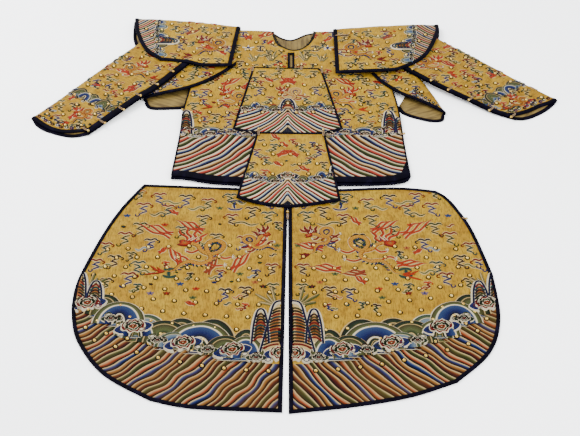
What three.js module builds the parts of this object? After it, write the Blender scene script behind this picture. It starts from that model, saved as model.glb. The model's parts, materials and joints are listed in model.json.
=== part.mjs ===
// A silk ceremonial armour laid out flat: sleeveless jacket, two sleeves, two shoulder
// guards, two underarm guards, front flap, lower flap and a skirt in two panels.
// Millimetres, +Z up. The floor is Z = 0, the neck points to +Y and the skirt to -Y.
import * as THREE from 'three'

// Cloth and trim
const CLOTH = 4 // silk, cotton padding and lining, quilted together
const GAP = 0.3 // between pieces that touch
const STEP = 44 // longest stretch between two points of an edge
const STUD = { radius: 5.4, height: 3.2, sides: 5, clear: 12 }

// How a layer settles on the ones under it
const PILE = { cell: 10, half: 900, reach: 58, slope: 0.08, highest: 40 }

// Colours from the object
const GOLD_SILK = 0xc9a045
const DARK_SATIN = 0x15131f
const TAN_SILK = 0xb08a4a

const silk = new THREE.MeshStandardMaterial({ color: GOLD_SILK, roughness: 0.55, metalness: 0.0 })
const satin = new THREE.MeshStandardMaterial({ color: DARK_SATIN, roughness: 0.6, metalness: 0.0 })
const cord = new THREE.MeshStandardMaterial({ color: TAN_SILK, roughness: 0.5, metalness: 0.2 })

const armour = new THREE.Group()

// Heights of what already lies on the floor, in square cells
class Pile {
  constructor(heights) {
    this.side = Math.round((2 * PILE.half) / PILE.cell)
    this.heights = heights ?? new Float32Array(this.side * this.side)
  }

  index(value) {
    return Math.floor((value + PILE.half) / PILE.cell)
  }

  mark([x, y, z]) {
    const place = this.index(y) * this.side + this.index(x)
    this.heights[place] = Math.max(this.heights[place], z)
  }

  // Marks the cells under one triangle, at points at most half a cell apart
  cover(a, b, c) {
    const longest = Math.max(distance(a, b), distance(b, c), distance(c, a))
    const count = Math.max(1, Math.ceil(longest / (PILE.cell / 2)))
    for (let i = 0; i <= count; i++) {
      for (let j = 0; j <= count - i; j++) {
        const [p, q] = [i / count, j / count]
        this.mark([0, 1, 2].map((k) => a[k] + p * (b[k] - a[k]) + q * (c[k] - a[k])))
      }
    }
  }

  // The height at which a new layer lies: on everything within reach, then down a gentle slope
  settle({ reach, slope } = PILE) {
    const frozen = new Pile(this.heights.slice())
    return (x, y) => frozen.heightAt(x, y, reach, slope)
  }

  heightAt(x, y, reach, slope) {
    const span = Math.ceil((reach + PILE.highest / slope) / PILE.cell)
    const [col, row] = [this.index(x), this.index(y)]
    let best = 0
    for (let r = Math.max(0, row - span); r <= Math.min(this.side - 1, row + span); r++) {
      for (let c = Math.max(0, col - span); c <= Math.min(this.side - 1, col + span); c++) {
        const height = this.heights[r * this.side + c]
        if (height + GAP <= best) continue
        const away = Math.hypot(
          (c + 0.5) * PILE.cell - PILE.half - x,
          (r + 0.5) * PILE.cell - PILE.half - y,
        )
        if (height > 0) {
          best = Math.max(best, height + GAP - slope * Math.max(0, away - reach))
        }
      }
    }
    return best
  }
}

const pile = new Pile()

function distance(a, b) {
  return Math.hypot(a[0] - b[0], a[1] - b[1])
}

// Outlines. A stretch is straight from point to point, or a smooth curve through them.
const straight = (...points) => ({ points, smooth: false })
const curve = (...points) => ({ points, smooth: true })

function sampleStretch({ points, smooth }, step) {
  const corners = points.map(([x, y]) => new THREE.Vector2(x, y))
  if (smooth) {
    const spline = new THREE.SplineCurve(corners)
    const count = Math.max(2, Math.ceil(spline.getLength() / step))
    return spline.getSpacedPoints(count).map((p) => [p.x, p.y])
  }
  const result = [points[0]]
  for (let i = 1; i < corners.length; i++) {
    const count = Math.max(1, Math.ceil(corners[i].distanceTo(corners[i - 1]) / step))
    for (let k = 1; k <= count; k++) {
      const p = corners[i - 1].clone().lerp(corners[i], k / count)
      result.push([p.x, p.y])
    }
  }
  return result
}

// Joins the stretches of a closed outline. Each has its binding's width, or 0 with none.
// The edge that starts at points[i] has the width widths[i].
function closeOutline(stretches, fold) {
  const points = []
  const widths = []
  for (const stretch of stretches) {
    const samples = sampleStretch(stretch, stretch.step ?? STEP)
    samples.pop()
    points.push(...samples)
    widths.push(...samples.map(() => stretch.bound ?? 0))
  }
  if (signedArea(points) > 0) return { points, widths, fold }
  const count = points.length
  return {
    fold,
    points: points.map((_, i) => points[(count - i) % count]),
    widths: points.map((_, i) => widths[(2 * count - i - 1) % count]),
  }
}

function signedArea(points) {
  return points.reduce((sum, [x, y], i) => {
    const [u, v] = points[(i + 1) % points.length]
    return sum + (x * v - u * y) / 2
  }, 0)
}

const STRAIGHT = 0.05 // sine of a turn that counts as none

// Moves each edge of a counterclockwise outline inward by its own width. A point on the bend
// of a folded panel moves along the fold only.
function inset({ points, widths, fold }) {
  const count = points.length
  const inward = points.map((p, i) => {
    const q = points[(i + 1) % count]
    const length = distance(p, q)
    return [-(q[1] - p[1]) / length, (q[0] - p[0]) / length]
  })
  return points.map((p, i) => {
    const before = (i + count - 1) % count
    const [n, m] = [inward[before], inward[i]]
    const [d, e] = [widths[before], widths[i]]
    if (fold && Math.abs(p[1]) < fold.bend + GAP) {
      return [p[0] + (p[0] < fold.length / 2 ? 1 : -1) * Math.max(d, e), p[1]]
    }
    const turn = n[0] * m[1] - n[1] * m[0]
    if (Math.abs(turn) < STRAIGHT) {
      const mean = (d + e) / 2
      return [p[0] + (mean * (n[0] + m[0])) / 2, p[1] + (mean * (n[1] + m[1])) / 2]
    }
    return [p[0] + (d * m[1] - e * n[1]) / turn, p[1] + (e * n[0] - d * m[0]) / turn]
  })
}

function isInside([x, y], loops) {
  let inside = false
  for (const loop of loops) {
    for (let i = 0, j = loop.length - 1; i < loop.length; j = i++) {
      const [a, b] = [loop[i], loop[j]]
      const crosses = a[1] > y !== b[1] > y
      if (crosses && x < ((b[0] - a[0]) * (y - a[1])) / (b[1] - a[1]) + a[0]) inside = !inside
    }
  }
  return inside
}

function edgeDistance([x, y], loops) {
  let best = Infinity
  for (const loop of loops) {
    loop.forEach((a, i) => {
      const b = loop[(i + 1) % loop.length]
      const [dx, dy] = [b[0] - a[0], b[1] - a[1]]
      const along = ((x - a[0]) * dx + (y - a[1]) * dy) / (dx * dx + dy * dy || 1)
      const t = Math.min(1, Math.max(0, along))
      best = Math.min(best, Math.hypot(a[0] + t * dx - x, a[1] + t * dy - y))
    })
  }
  return best
}

// Triangles that fill loops of points, by inserting one point after another
function delaunay(points) {
  const nudge = (i, k) => 0.002 * (((i * 7919 + k * 104729) % 1009) / 1009 - 0.5)
  const far = 1e5
  const all = points.map(([x, y], i) => [x + nudge(i, 1), y + nudge(i, 2)])
  const first = all.length
  all.push([-far, -far], [far, -far], [0, far])
  const circle = (a, b, c) => {
    const [ax, ay] = all[a]
    const [bx, by] = [all[b][0] - ax, all[b][1] - ay]
    const [cx, cy] = [all[c][0] - ax, all[c][1] - ay]
    const d = 2 * (bx * cy - by * cx)
    const ux = (cy * (bx * bx + by * by) - by * (cx * cx + cy * cy)) / d
    const uy = (bx * (cx * cx + cy * cy) - cx * (bx * bx + by * by)) / d
    return { corners: [a, b, c], x: ax + ux, y: ay + uy, r: ux * ux + uy * uy }
  }
  let triangles = [circle(first, first + 1, first + 2)]
  for (let i = 0; i < first; i++) {
    const [x, y] = all[i]
    const edges = new Map()
    triangles = triangles.filter((t) => {
      if ((x - t.x) ** 2 + (y - t.y) ** 2 >= t.r) return true
      t.corners.forEach((a, k) => {
        const b = t.corners[(k + 1) % 3]
        const twin = `${b},${a}`
        if (edges.has(twin)) edges.delete(twin)
        else edges.set(`${a},${b}`, [a, b])
      })
      return false
    })
    for (const [a, b] of edges.values()) triangles.push(circle(a, b, i))
  }
  return triangles.map((t) => t.corners).filter((t) => t.every((corner) => corner < first))
}

const SLIVER = 0.3 // square millimetres, the least area of a triangle

function fill(loops, inner) {
  const points = [...loops.flat(), ...inner]
  const triangles = delaunay(points).filter((t) => {
    const corners = t.map((i) => points[i])
    if (Math.abs(signedArea(corners)) < SLIVER) return false
    const middle = [0, 1].map((k) => (corners[0][k] + corners[1][k] + corners[2][k]) / 3)
    return isInside(middle, loops)
  })
  return { points, triangles }
}

// Splits the edges of the loops that a filling has missed, and says whether it split any
function splitMissing(loops, triangles) {
  const edges = new Set()
  for (const t of triangles) t.forEach((a, k) => edges.add(`${a},${t[(k + 1) % 3]}`))
  let start = 0
  let split = false
  for (const loop of loops) {
    const count = loop.length
    const whole = []
    loop.forEach((p, i) => {
      const q = loop[(i + 1) % count]
      const [a, b] = [start + i, start + ((i + 1) % count)]
      whole.push(p)
      if (edges.has(`${a},${b}`) !== edges.has(`${b},${a}`)) return
      whole.push([(p[0] + q[0]) / 2, (p[1] + q[1]) / 2])
      split = true
    })
    start += count
    loop.splice(0, count, ...whole)
  }
  return split
}

// Points of a staggered grid inside the loops, no nearer to their edges than the clearance
function staggered({ across, down, origin = [0, 0], shift, where }, loops, clearance) {
  const [xs, ys] = [0, 1].map((k) => loops[0].map((p) => p[k]))
  const result = []
  const margin = 2 * down
  const firstRow = Math.floor((Math.min(...ys) - margin - origin[1]) / down)
  const lastRow = Math.ceil((Math.max(...ys) + margin - origin[1]) / down)
  const firstColumn = Math.floor((Math.min(...xs) - origin[0]) / across) - 1
  const lastColumn = Math.ceil((Math.max(...xs) - origin[0]) / across) + 1
  for (let row = firstRow; row <= lastRow; row++) {
    for (let column = firstColumn; column <= lastColumn; column++) {
      const x = origin[0] + across * (column + (row % 2 ? 0.5 : 0))
      const flat = origin[1] + down * row
      if (where && !where(x, flat)) continue
      const p = [x, flat + (shift ? shift(x, flat) : 0)]
      if (isInside(p, loops) && edgeDistance(p, loops) > clearance) result.push(p)
    }
  }
  return result
}

function ringOf([x, y], { radius, sides }) {
  return Array.from({ length: sides }, (_, i) => {
    const angle = (2 * Math.PI * i) / sides
    return [x + radius * Math.cos(angle), y + radius * Math.sin(angle)]
  })
}

function addMesh(name, positions, triangles, material) {
  const corners = triangles.flat()
  let volume = 0
  for (const [a, b, c] of triangles) {
    const [p, q, r] = [a, b, c].map((i) => new THREE.Vector3(...positions[i]))
    volume += p.dot(q.cross(r))
  }
  if (volume < 0) corners.reverse()
  const geometry = new THREE.BufferGeometry()
  geometry.setAttribute('position', new THREE.Float32BufferAttribute(positions.flat(), 3))
  geometry.setIndex(corners)
  const mesh = new THREE.Mesh(geometry, material)
  mesh.name = name
  armour.add(mesh)
}

// Shares of the spacing that the points inside a wall keep to
const SPARE = { down: 0.87, fromEdge: 0.45, fromRow: 0.5, fromStud: 0.75 }

// A piece of cloth: the same loops on both faces, studs raised on the outer one only
class Wall {
  constructor({ name, loops, studs = [], rows = [], spacing = STEP, thickness = CLOTH, bump = STUD }) {
    Object.assign(this, { name, loops: loops.map((loop) => [...loop]), studs, thickness, bump })
    const between = { across: spacing, down: spacing * SPARE.down }
    const plain = staggered(between, this.loops, spacing * SPARE.fromEdge)
    const near = (p, list, limit) => list.some((q) => distance(p, q) < limit)
    const spare = plain.filter((p) => !near(p, rows, spacing * SPARE.fromRow))
    const outer = spare.filter((p) => !near(p, studs, spacing * SPARE.fromStud))
    const raised = studs.flatMap((p) => [...ringOf(p, bump), p])
    let split = true
    while (split) {
      this.inside = fill(this.loops, [...rows, ...spare])
      this.outside = fill(this.loops, [...rows, ...outer, ...raised])
      split = splitMissing(this.loops, this.inside.triangles)
      split ||= splitMissing(this.loops, this.outside.triangles)
    }
    const apexes = this.outside.points.length - raised.length
    this.isApex = (i) => i >= apexes && (i - apexes) % (bump.sides + 1) === bump.sides
  }

  // Marks what the wall covers, where keep says that a cut point belongs to this layer
  press(drape, height, keep = () => true) {
    for (const triangle of this.inside.triangles) {
      const cut = triangle.map((i) => this.inside.points[i])
      if (cut.every(keep)) pile.cover(...cut.map(([s, t]) => drape(s, t, height)))
    }
  }

  build(drape, material) {
    const { inside, outside, thickness, bump } = this
    const lower = inside.points.map(([s, t]) => drape(s, t, 0))
    const upper = outside.points.map(([s, t], i) => {
      return drape(s, t, thickness + (this.isApex(i) ? bump.height : 0))
    })
    const base = upper.length
    const triangles = [
      ...outside.triangles,
      ...inside.triangles.map(([a, b, c]) => [base + a, base + c, base + b]),
    ]
    let start = 0
    for (const loop of this.loops) {
      loop.forEach((_, i) => {
        const [a, b] = [start + i, start + ((i + 1) % loop.length)]
        const turned = this.outside.triangles.some((t) => {
          return t.some((corner, k) => corner === b && t[(k + 1) % 3] === a)
        })
        const [p, q] = turned ? [b, a] : [a, b]
        triangles.push([p, base + p, base + q], [p, base + q, q])
      })
      start += loop.length
    }
    addMesh(this.name, [...upper, ...lower], triangles, material)
  }
}

// A satin binding: the strip between an outline and the same outline moved inward
class Edging {
  constructor({ name, outline, run }) {
    const whole = inset(outline)
    const count = outline.points.length
    const isBound = (i) => outline.widths[i] > 0 && (!run || run(outline.points[i]))
    const closed = outline.points.every((_, i) => isBound(i))
    const start = closed ? 0 : outline.points.findIndex((_, i) => {
      return isBound(i) && !isBound((i + count - 1) % count)
    })
    const chain = [start]
    while (isBound(chain.at(-1)) && chain.length < count) chain.push((chain.at(-1) + 1) % count)
    this.closed = closed
    this.name = name
    this.thickness = CLOTH
    this.outer = chain.map((i) => outline.points[i])
    this.inner = chain.map((i) => whole[i])
  }

  segments() {
    const count = this.outer.length
    return Array.from({ length: this.closed ? count : count - 1 }, (_, i) => [i, (i + 1) % count])
  }

  press(drape, height, keep = () => true) {
    for (const [i, j] of this.segments()) {
      const cut = [this.outer[i], this.outer[j], this.inner[j], this.inner[i]]
      if (!cut.every(keep)) continue
      const [a, b, c, d] = cut.map(([s, t]) => drape(s, t, height))
      pile.cover(a, b, c)
      pile.cover(a, c, d)
    }
  }

  build(drape, material) {
    const rings = this.outer.map((p, i) => [
      drape(...p, 0),
      drape(...p, this.thickness),
      drape(...this.inner[i], this.thickness),
      drape(...this.inner[i], 0),
    ])
    const triangles = []
    for (const [i, j] of this.segments()) {
      for (let k = 0; k < 4; k++) {
        const next = (k + 1) % 4
        const [a, b, c, d] = [4 * i + k, 4 * i + next, 4 * j + next, 4 * j + k]
        triangles.push([a, b, c], [a, c, d])
      }
    }
    if (!this.closed) {
      const last = 4 * (this.outer.length - 1)
      triangles.push([0, 2, 1], [0, 3, 2], [last, last + 1, last + 2], [last, last + 2, last + 3])
    }
    addMesh(this.name, rings.flat(), triangles, material)
  }
}

// The cloth's own outline: inside its binding where it has one
function clothLoop({ points, widths, fold }) {
  return inset({ points, fold, widths: widths.map((width) => (width > 0 ? width + GAP : 0)) })
}

// A piece of one layer
const laid = (rest) => (x, y, height) => [x, y, rest(x, y) + height]

// A piece folded in two along a line. Its cut has u along the fold and v across it, with the
// front half at v > bend and the back half, whose outer face is underneath, at v < -bend.
function folded({ origin, along, across, bend, back, front }) {
  const place = (u, w) => [0, 1].map((k) => origin[k] + u * along[k] + w * across[k])
  return (u, v, height) => {
    if (v >= bend) {
      const [x, y] = place(u, v - bend)
      return [x, y, front(x, y) + height]
    }
    if (v <= -bend) {
      const [x, y] = place(u, -v - bend)
      return [x, y, back(x, y) + CLOTH - height]
    }
    const [x, y] = place(u, 0)
    const [high, low] = [front(x, y) + CLOTH / 2, back(x, y) + CLOTH / 2]
    const half = (high - low) / 2
    const angle = ((v / bend) * Math.PI) / 2
    const lift = height - CLOTH / 2
    const [px, py] = place(u, -(half + lift) * Math.cos(angle))
    return [px, py, (high + low) / 2 + (half + lift) * Math.sin(angle)]
  }
}

// The same layer again, just above the first: it clears its slopes by the spread
function layerAbove(rest, spread = 16) {
  return (x, y) => {
    let best = rest(x, y)
    for (let i = 0; i < 8; i++) {
      const angle = (i * Math.PI) / 4
      best = Math.max(best, rest(x + spread * Math.cos(angle), y + spread * Math.sin(angle)))
    }
    return best + CLOTH + GAP
  }
}

// A panel of one layer with the bindings along its edges
class Panel {
  constructor({ name, stretches, bindings, studs, fold, holes = [], covers = [], spacing = STEP }) {
    this.outline = closeOutline(stretches, fold)
    this.fold = fold
    const loops = [clothLoop(this.outline), ...holes.map((hole) => hole.slice().reverse())]
    const world = (p) => (fold ? foldedPlace(fold, p) : p)
    const isFree = (p) => covers.every((cover) => {
      const spot = world(p)
      return !isInside(spot, [cover]) && edgeDistance(spot, [cover]) > STUD.clear
    })
    const lattice = studs ? staggered(studs, loops, STUD.clear) : []
    const rows = fold ? foldRows(fold, loops) : []
    this.wall = new Wall({
      name,
      loops,
      rows,
      spacing,
      studs: lattice.filter(isFree),
    })
    this.edgings = bindings.map((binding) => new Edging({ ...binding, outline: this.outline }))
  }

  press(drape, height, keep) {
    for (const part of [this.wall, ...this.edgings]) part.press(drape, height, keep)
  }

  build(drape) {
    this.wall.build(drape, silk)
    for (const edging of this.edgings) edging.build(drape, satin)
  }

  // Lays a panel of one layer on what is there
  lay(rest = pile.settle()) {
    const drape = laid(rest)
    this.build(drape)
    this.press(drape, CLOTH)
  }

  // The back half of a folded panel, underneath
  layBack() {
    const { fold } = this
    fold.back = pile.settle()
    fold.front = fold.back
    this.press(folded(fold), 0, ([, v]) => v <= -fold.bend)
  }

  layFront(front = pile.settle()) {
    const { fold } = this
    fold.front = front
    const drape = folded(fold)
    this.build(drape)
    this.press(drape, CLOTH, ([, v]) => v >= fold.bend)
  }
}

function foldedPlace({ origin, along, across, bend }, [u, v]) {
  const w = Math.abs(v) - bend
  return [0, 1].map((k) => origin[k] + u * along[k] + w * across[k])
}

// Points along the bend of a folded panel, inside its loops
function foldRows({ bend, length }, loops) {
  const rows = []
  for (let k = -2; k <= 2; k++) {
    for (let u = -STEP; u <= length + STEP; u += STEP * 0.75) rows.push([u, (k * bend) / 2])
  }
  return rows.filter((p) => isInside(p, loops) && edgeDistance(p, loops) > STEP * 0.35)
}

// The frame of a fold line from one end towards the other, with the cloth on its given side
function foldLine(origin, towards, side, bend) {
  const length = distance(origin, towards)
  const along = [0, 1].map((k) => (towards[k] - origin[k]) / length)
  return { origin, along, across: [-side * along[1], side * along[0]], bend, length }
}

const bound = (width, stretch) => ({ ...stretch, bound: width })
const reversed = (stretch) => ({ ...stretch, points: stretch.points.slice().reverse() })

// A stretch of the front or the back half, its v measured from the fold
function half(sign, bend, stretch) {
  return { ...stretch, points: stretch.points.map(([u, v]) => [u, sign * (v + bend)]) }
}

function overFold(u, sign, bend) {
  return { ...straight([u, sign * bend], [u, -sign * bend]), step: bend / 2 }
}

// The outline, on the floor, of the front half of a folded panel
function frontOnFloor(fold, stretches) {
  const points = stretches.flatMap((stretch) => sampleStretch(stretch, STEP))
  return points.map(([u, v]) => foldedPlace(fold, [u, v + fold.bend]))
}

const FLAP = { binding: 10, side: 5, top: 4 }
const frontFlapStretches = [
  bound(FLAP.top, straight([75, 553], [-144, 560])),
  bound(FLAP.side, straight([-144, 560], [-202, 251])),
  bound(FLAP.binding, straight([-202, 251], [-125, 231], [-28, 214], [88, 231], [146, 251])),
  bound(FLAP.side, straight([146, 251], [86, 539], [75, 553])),
]
const lowerFlapStretches = [
  bound(FLAP.top, straight([88, 232], [-125, 235])),
  bound(FLAP.side, straight([-125, 235], [-180, -55])),
  bound(FLAP.binding, curve([-180, -55], [-110, -77], [-28, -91])),
  bound(FLAP.binding, curve([-28, -91], [50, -80], [129, -64])),
  bound(FLAP.side, straight([129, -64], [88, 232])),
]

// Shoulder guards: the ridge runs over the shoulder, from the outer end to the neck's side
const GUARD = { bend: 15, binding: 13 }
const guards = {
  left: {
    fold: foldLine([-559, 824], [-193, 773], -1, GUARD.bend),
    length: 370,
    inner: straight([370, 0], [378, 221]),
    bottom: curve([378, 221], [288, 241], [228, 231], [139, 230]),
    outer: curve([139, 230], [76, 179], [23, 80], [0, 0]),
    backOuter: curve([139, 232], [64, 179], [17, 100], [-4, 0]),
    backBottom: curve([378, 224], [288, 241], [228, 233], [139, 232]),
    backInner: straight([370, 0], [378, 224]),
  },
  right: {
    fold: foldLine([491, 785], [128, 762], 1, GUARD.bend),
    length: 364,
    inner: straight([364, 0], [378, 241]),
    bottom: curve([378, 241], [266, 251], [186, 252], [155, 241]),
    outer: curve([155, 241], [109, 217], [57, 162], [8, 50], [0, 0]),
    backOuter: curve([155, 241], [109, 217], [55, 162], [6, 50], [-2, 0]),
  },
}

// Underarm guards: a leaf folded along its outer edge, its two halves pointing down
const LEAF = { bend: 8, binding: 12 }
const leaves = {
  left: {
    fold: foldLine([-489, 400], [-411, 584], -1, LEAF.bend),
    length: 150,
    top: straight([150, 0], [300, 40], [300, 190], [265, 200]),
    lower: curve([265, 200], [164, 158], [90, 104], [20, 19], [0, 0]),
    backLower: curve([0, 0], [-16, 9], [-27, 35], [-4, 91], [25, 136], [90, 160]),
    backTop: straight([90, 160], [150, 0]),
  },
  right: {
    fold: foldLine([472, 333], [394, 517], 1, LEAF.bend),
    length: 195,
    top: straight([195, 0], [300, 30], [300, 134], [262, 132]),
    lower: curve([262, 132], [213, 126], [130, 92], [59, 38], [0, 0]),
    backLower: curve([0, 0], [-21, 13], [-22, 35], [-2, 69], [50, 117], [88, 122]),
    backTop: straight([88, 122], [195, 0]),
  },
}

// Sleeves: folded along the upper edge, closed by a bound seam along the lower one
const SLEEVE = { bend: 4, cuff: 14 }
const sleeves = {
  left: {
    fold: foldLine([-841, 310], [-545, 669], -1, SLEEVE.bend),
    length: 583,
    seamBinding: 20,
    cuff: curve([0, 0], [-3, 65], [10, 115], [36, 150], [82, 194]),
    seam: curve([82, 194], [275, 209], [339, 218], [496, 212], [530, 208]),
    backCuff: curve([0, 0], [-12, 33], [-10, 79], [18, 154], [63, 192]),
    backSeam: curve([63, 192], [275, 209], [339, 218], [496, 212], [530, 208]),
    root: [530, 208],
    loops: [[-412, 522], [-458, 455], [-509, 401], [-557, 338], [-612, 281], [-662, 250]],
  },
  right: {
    fold: foldLine([841, 400], [486, 709], 1, SLEEVE.bend),
    length: 530,
    seamBinding: 14,
    cuff: curve([0, 0], [6, 30], [21, 62], [34, 105], [53, 144], [75, 172]),
    seam: curve([75, 172], [123, 188], [204, 198], [347, 215], [525, 212]),
    backCuff: curve([0, 0], [-3, 22], [0, 67], [12, 113], [28, 145], [51, 165]),
    backSeam: curve([51, 165], [123, 188], [204, 198], [347, 215], [525, 212]),
    root: [525, 212],
    loops: [[388, 534], [445, 478], [497, 434], [560, 389], [621, 344], [688, 318]],
  },
}

function guardPanel(side) {
  const guard = guards[side]
  const { bend } = GUARD
  const { fold, inner, bottom, outer, backOuter } = guard
  const { backInner = inner, backBottom = bottom } = guard
  const stretches = [
    half(1, bend, inner),
    half(1, bend, bottom),
    half(1, bend, outer),
    overFold(0, 1, bend),
    half(-1, bend, reversed(backOuter)),
    half(-1, bend, reversed(backBottom)),
    half(-1, bend, reversed(backInner)),
    overFold(guard.length, -1, bend),
  ]
  return new Panel({
    name: `shoulder_guard_${side}`,
    stretches: stretches.map((stretch) => bound(GUARD.binding, stretch)),
    fold: Object.assign(fold, { length: guard.length }),
    studs: { across: 54, down: 38, origin: [28, bend + 22], where: (u, v) => v > bend + 10 },
    bindings: [{ name: `shoulder_guard_${side}_binding` }],
  })
}

function leafPanel(side) {
  const leaf = leaves[side]
  const { bend } = LEAF
  const stretches = [
    half(1, bend, leaf.top),
    bound(LEAF.binding, half(1, bend, leaf.lower)),
    bound(LEAF.binding, overFold(0, 1, bend)),
    bound(LEAF.binding, half(-1, bend, leaf.backLower)),
    half(-1, bend, leaf.backTop),
    overFold(leaf.length, -1, bend),
  ]
  return new Panel({
    name: `underarm_guard_${side}`,
    stretches,
    fold: Object.assign(leaf.fold, { length: leaf.length }),
    studs: { across: 54, down: 40, origin: [60, bend + 24], where: (u, v) => v > bend + 8 },
    covers: [guardCover(side), sleeveCover(side)],
    bindings: [{ name: `underarm_guard_${side}_binding` }],
  })
}

function sleevePanel(side) {
  const sleeve = sleeves[side]
  const { bend, cuff } = SLEEVE
  const { seamBinding, root } = sleeve
  const stretches = [
    bound(seamBinding, half(1, bend, reversed(sleeve.seam))),
    bound(cuff, half(1, bend, reversed(sleeve.cuff))),
    bound(cuff, overFold(0, 1, bend)),
    bound(cuff, half(-1, bend, sleeve.backCuff)),
    bound(seamBinding, half(-1, bend, sleeve.backSeam)),
    half(-1, bend, straight(root, [sleeve.length, 0])),
    overFold(sleeve.length, -1, bend),
    half(1, bend, straight([sleeve.length, 0], root)),
  ]
  return new Panel({
    name: `sleeve_${side}`,
    stretches,
    fold: Object.assign(sleeve.fold, { length: sleeve.length }),
    studs: { across: 60, down: 42, origin: [45, bend + 22], where: (u, v) => v > bend + 8 },
    covers: [guardCover(side)],
    bindings: [{ name: `sleeve_${side}_binding` }],
  })
}

function guardCover(side) {
  const { fold, inner, bottom, outer } = guards[side]
  return frontOnFloor(fold, [inner, bottom, outer])
}

function leafCover(side) {
  const { fold, top, lower } = leaves[side]
  return frontOnFloor(fold, [top, lower])
}

function sleeveCover(side) {
  const { fold, seam, cuff, length, root } = sleeves[side]
  return frontOnFloor(fold, [straight([length, 0], root), straight(root, seam.points[0]), cuff])
}

const outlineOnFloor = (stretches) => stretches.flatMap((stretch) => sampleStretch(stretch, STEP))

// Jacket
const JACKET = { side: 5, hem: 24, backHem: 18, neck: 5 }
const shoulderTips = { left: [-262, 769], right: [236, 764] }
const armholes = {
  left: curve(shoulderTips.left, [-282, 640], [-312, 520], [-348, 454]),
  right: curve([314, 443], [282, 515], [252, 640], shoulderTips.right),
}
const slit = { left: -29, right: -6, bottom: 561, top: 648, binding: 7.5 }

function slitLoop(margin) {
  const [west, east] = [slit.left - margin, slit.right + margin]
  const [south, north] = [slit.bottom - margin, slit.top + margin]
  const middle = (south + north) / 2
  return [[west, south], [east, south], [east, middle], [east, north], [west, north], [west, middle]]
}

const jacketFrontStretches = [
  bound(JACKET.side, curve([-348, 454], [-364, 342], [-367, 251], [-380, 61], [-380, 40])),
  bound(JACKET.hem, curve([-380, 40], [-337, 38], [-259, 20], [-164, 11])),
  bound(JACKET.hem, straight([-164, 11], [123, 14])),
  bound(JACKET.hem, curve([123, 14], [263, 15], [327, 33], [343, 60])),
  bound(JACKET.side, curve([343, 60], [334, 212], [328, 344], [314, 443])),
  armholes.right,
  straight(shoulderTips.right, [58, 758]),
  { ...curve([58, 758], [55, 729], [26, 673], [-11, 661], [-39, 675], [-59, 700], [-77, 763]), step: 22 },
  straight([-77, 763], shoulderTips.left),
  armholes.left,
]
const jacketBackStretches = [
  bound(JACKET.side, curve([-348, 454], [-364, 342], [-367, 251], [-380, 61], [-381, 34])),
  bound(JACKET.backHem, curve([-381, 34], [-337, 31], [-259, 13], [-164, 4])),
  bound(JACKET.backHem, straight([-164, 4], [123, 4])),
  bound(JACKET.backHem, curve([123, 4], [263, 7], [327, 20], [345, 46])),
  bound(JACKET.side, curve([345, 46], [334, 212], [328, 344], [314, 443])),
  armholes.right,
  straight(shoulderTips.right, [58, 760]),
  bound(JACKET.neck, { ...curve([58, 760], [17, 741], [-15, 726], [-45, 736], [-77, 764]), step: 22 }),
  straight([-77, 764], shoulderTips.left),
  armholes.left,
]

// Skirt
const SKIRT = { binding: 11, spacing: 150, middle: -28 }
const SKIRT_STUDS = { down: 45, across: 58, first: -238, rows: 11 }
const skirtCurve = (x, y) => {
  const outward = ((x - SKIRT.middle) / 430) ** 2
  return outward * (78 * ((SKIRT_STUDS.first - y) / 414) - 12)
}
const skirtStuds = {
  ...SKIRT_STUDS,
  shift: skirtCurve,
  where: (x, y) => y < SKIRT_STUDS.first + 1 && y > SKIRT_STUDS.first - (SKIRT_STUDS.rows - 0.5) * SKIRT_STUDS.down,
}
const skirts = {
  left: [
    curve([-460, 13], [-517, -84], [-562, -195], [-606, -344], [-617, -414]),
    curve([-617, -414], [-614, -489], [-587, -588], [-507, -698], [-380, -779]),
    curve([-380, -779], [-306, -799], [-225, -808], [-41, -816]),
    straight([-41, -816], [-29, -91], [-29, -9]),
    curve([-29, -9], [-170, -4], [-460, 13]),
  ],
  right: [
    straight([-27, -9], [-26, -91], [-24, -820]),
    curve([-24, -820], [138, -800], [287, -770], [411, -723]),
    curve([411, -723], [508, -626], [548, -507], [546, -350]),
    curve([546, -350], [509, -183], [472, -89], [443, -40], [415, -15]),
    curve([415, -15], [307, -1], [117, -8], [-27, -9]),
  ],
}

// Loops and buttons: a tan silk strip with a round gilt button at one end
const BUTTON = { radius: 4.6, height: 5, sides: 6 }
const SMALL = { reach: 12, slope: 0.3 }
const ON_STEP = { reach: 22, slope: 0.3 }

function toggle(name, [x, y], angle, length, width, lie = SMALL) {
  const [c, s] = [Math.cos(angle), Math.sin(angle)]
  const turn = ([a, b]) => [x + a * c - b * s, y + a * s + b * c]
  const [l, w] = [length / 2, width / 2]
  const loop = [[-l, -w], [l, -w], [l, w], [-l, w]].map(turn)
  const wall = new Wall({
    name,
    loops: [loop],
    studs: [turn([l - w - 0.6, 0])],
    spacing: 4 * length,
    thickness: 2,
    bump: { ...BUTTON, radius: Math.min(BUTTON.radius, w - 0.4) },
  })
  wall.build(laid(pile.settle(lie)), cord)
}

// The layers, from the floor up
const guardPair = { left: guardPanel('left'), right: guardPanel('right') }
const leafPair = { left: leafPanel('left'), right: leafPanel('right') }
const sleevePair = { left: sleevePanel('left'), right: sleevePanel('right') }
const both = ['left', 'right']
const onFloor = () => 0

for (const side of both) {
  const skirt = new Panel({
    name: `skirt_${side}`,
    stretches: skirts[side].map((stretch) => bound(SKIRT.binding, stretch)),
    studs: { ...skirtStuds, origin: [side === 'left' ? -77 : 46, SKIRT_STUDS.first] },
    spacing: SKIRT.spacing,
    covers: [outlineOnFloor(lowerFlapStretches)],
    bindings: [{ name: `skirt_${side}_binding` }],
  })
  skirt.lay(onFloor)
}

for (const side of both) guardPair[side].layBack()
for (const side of both) leafPair[side].layBack()

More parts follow.
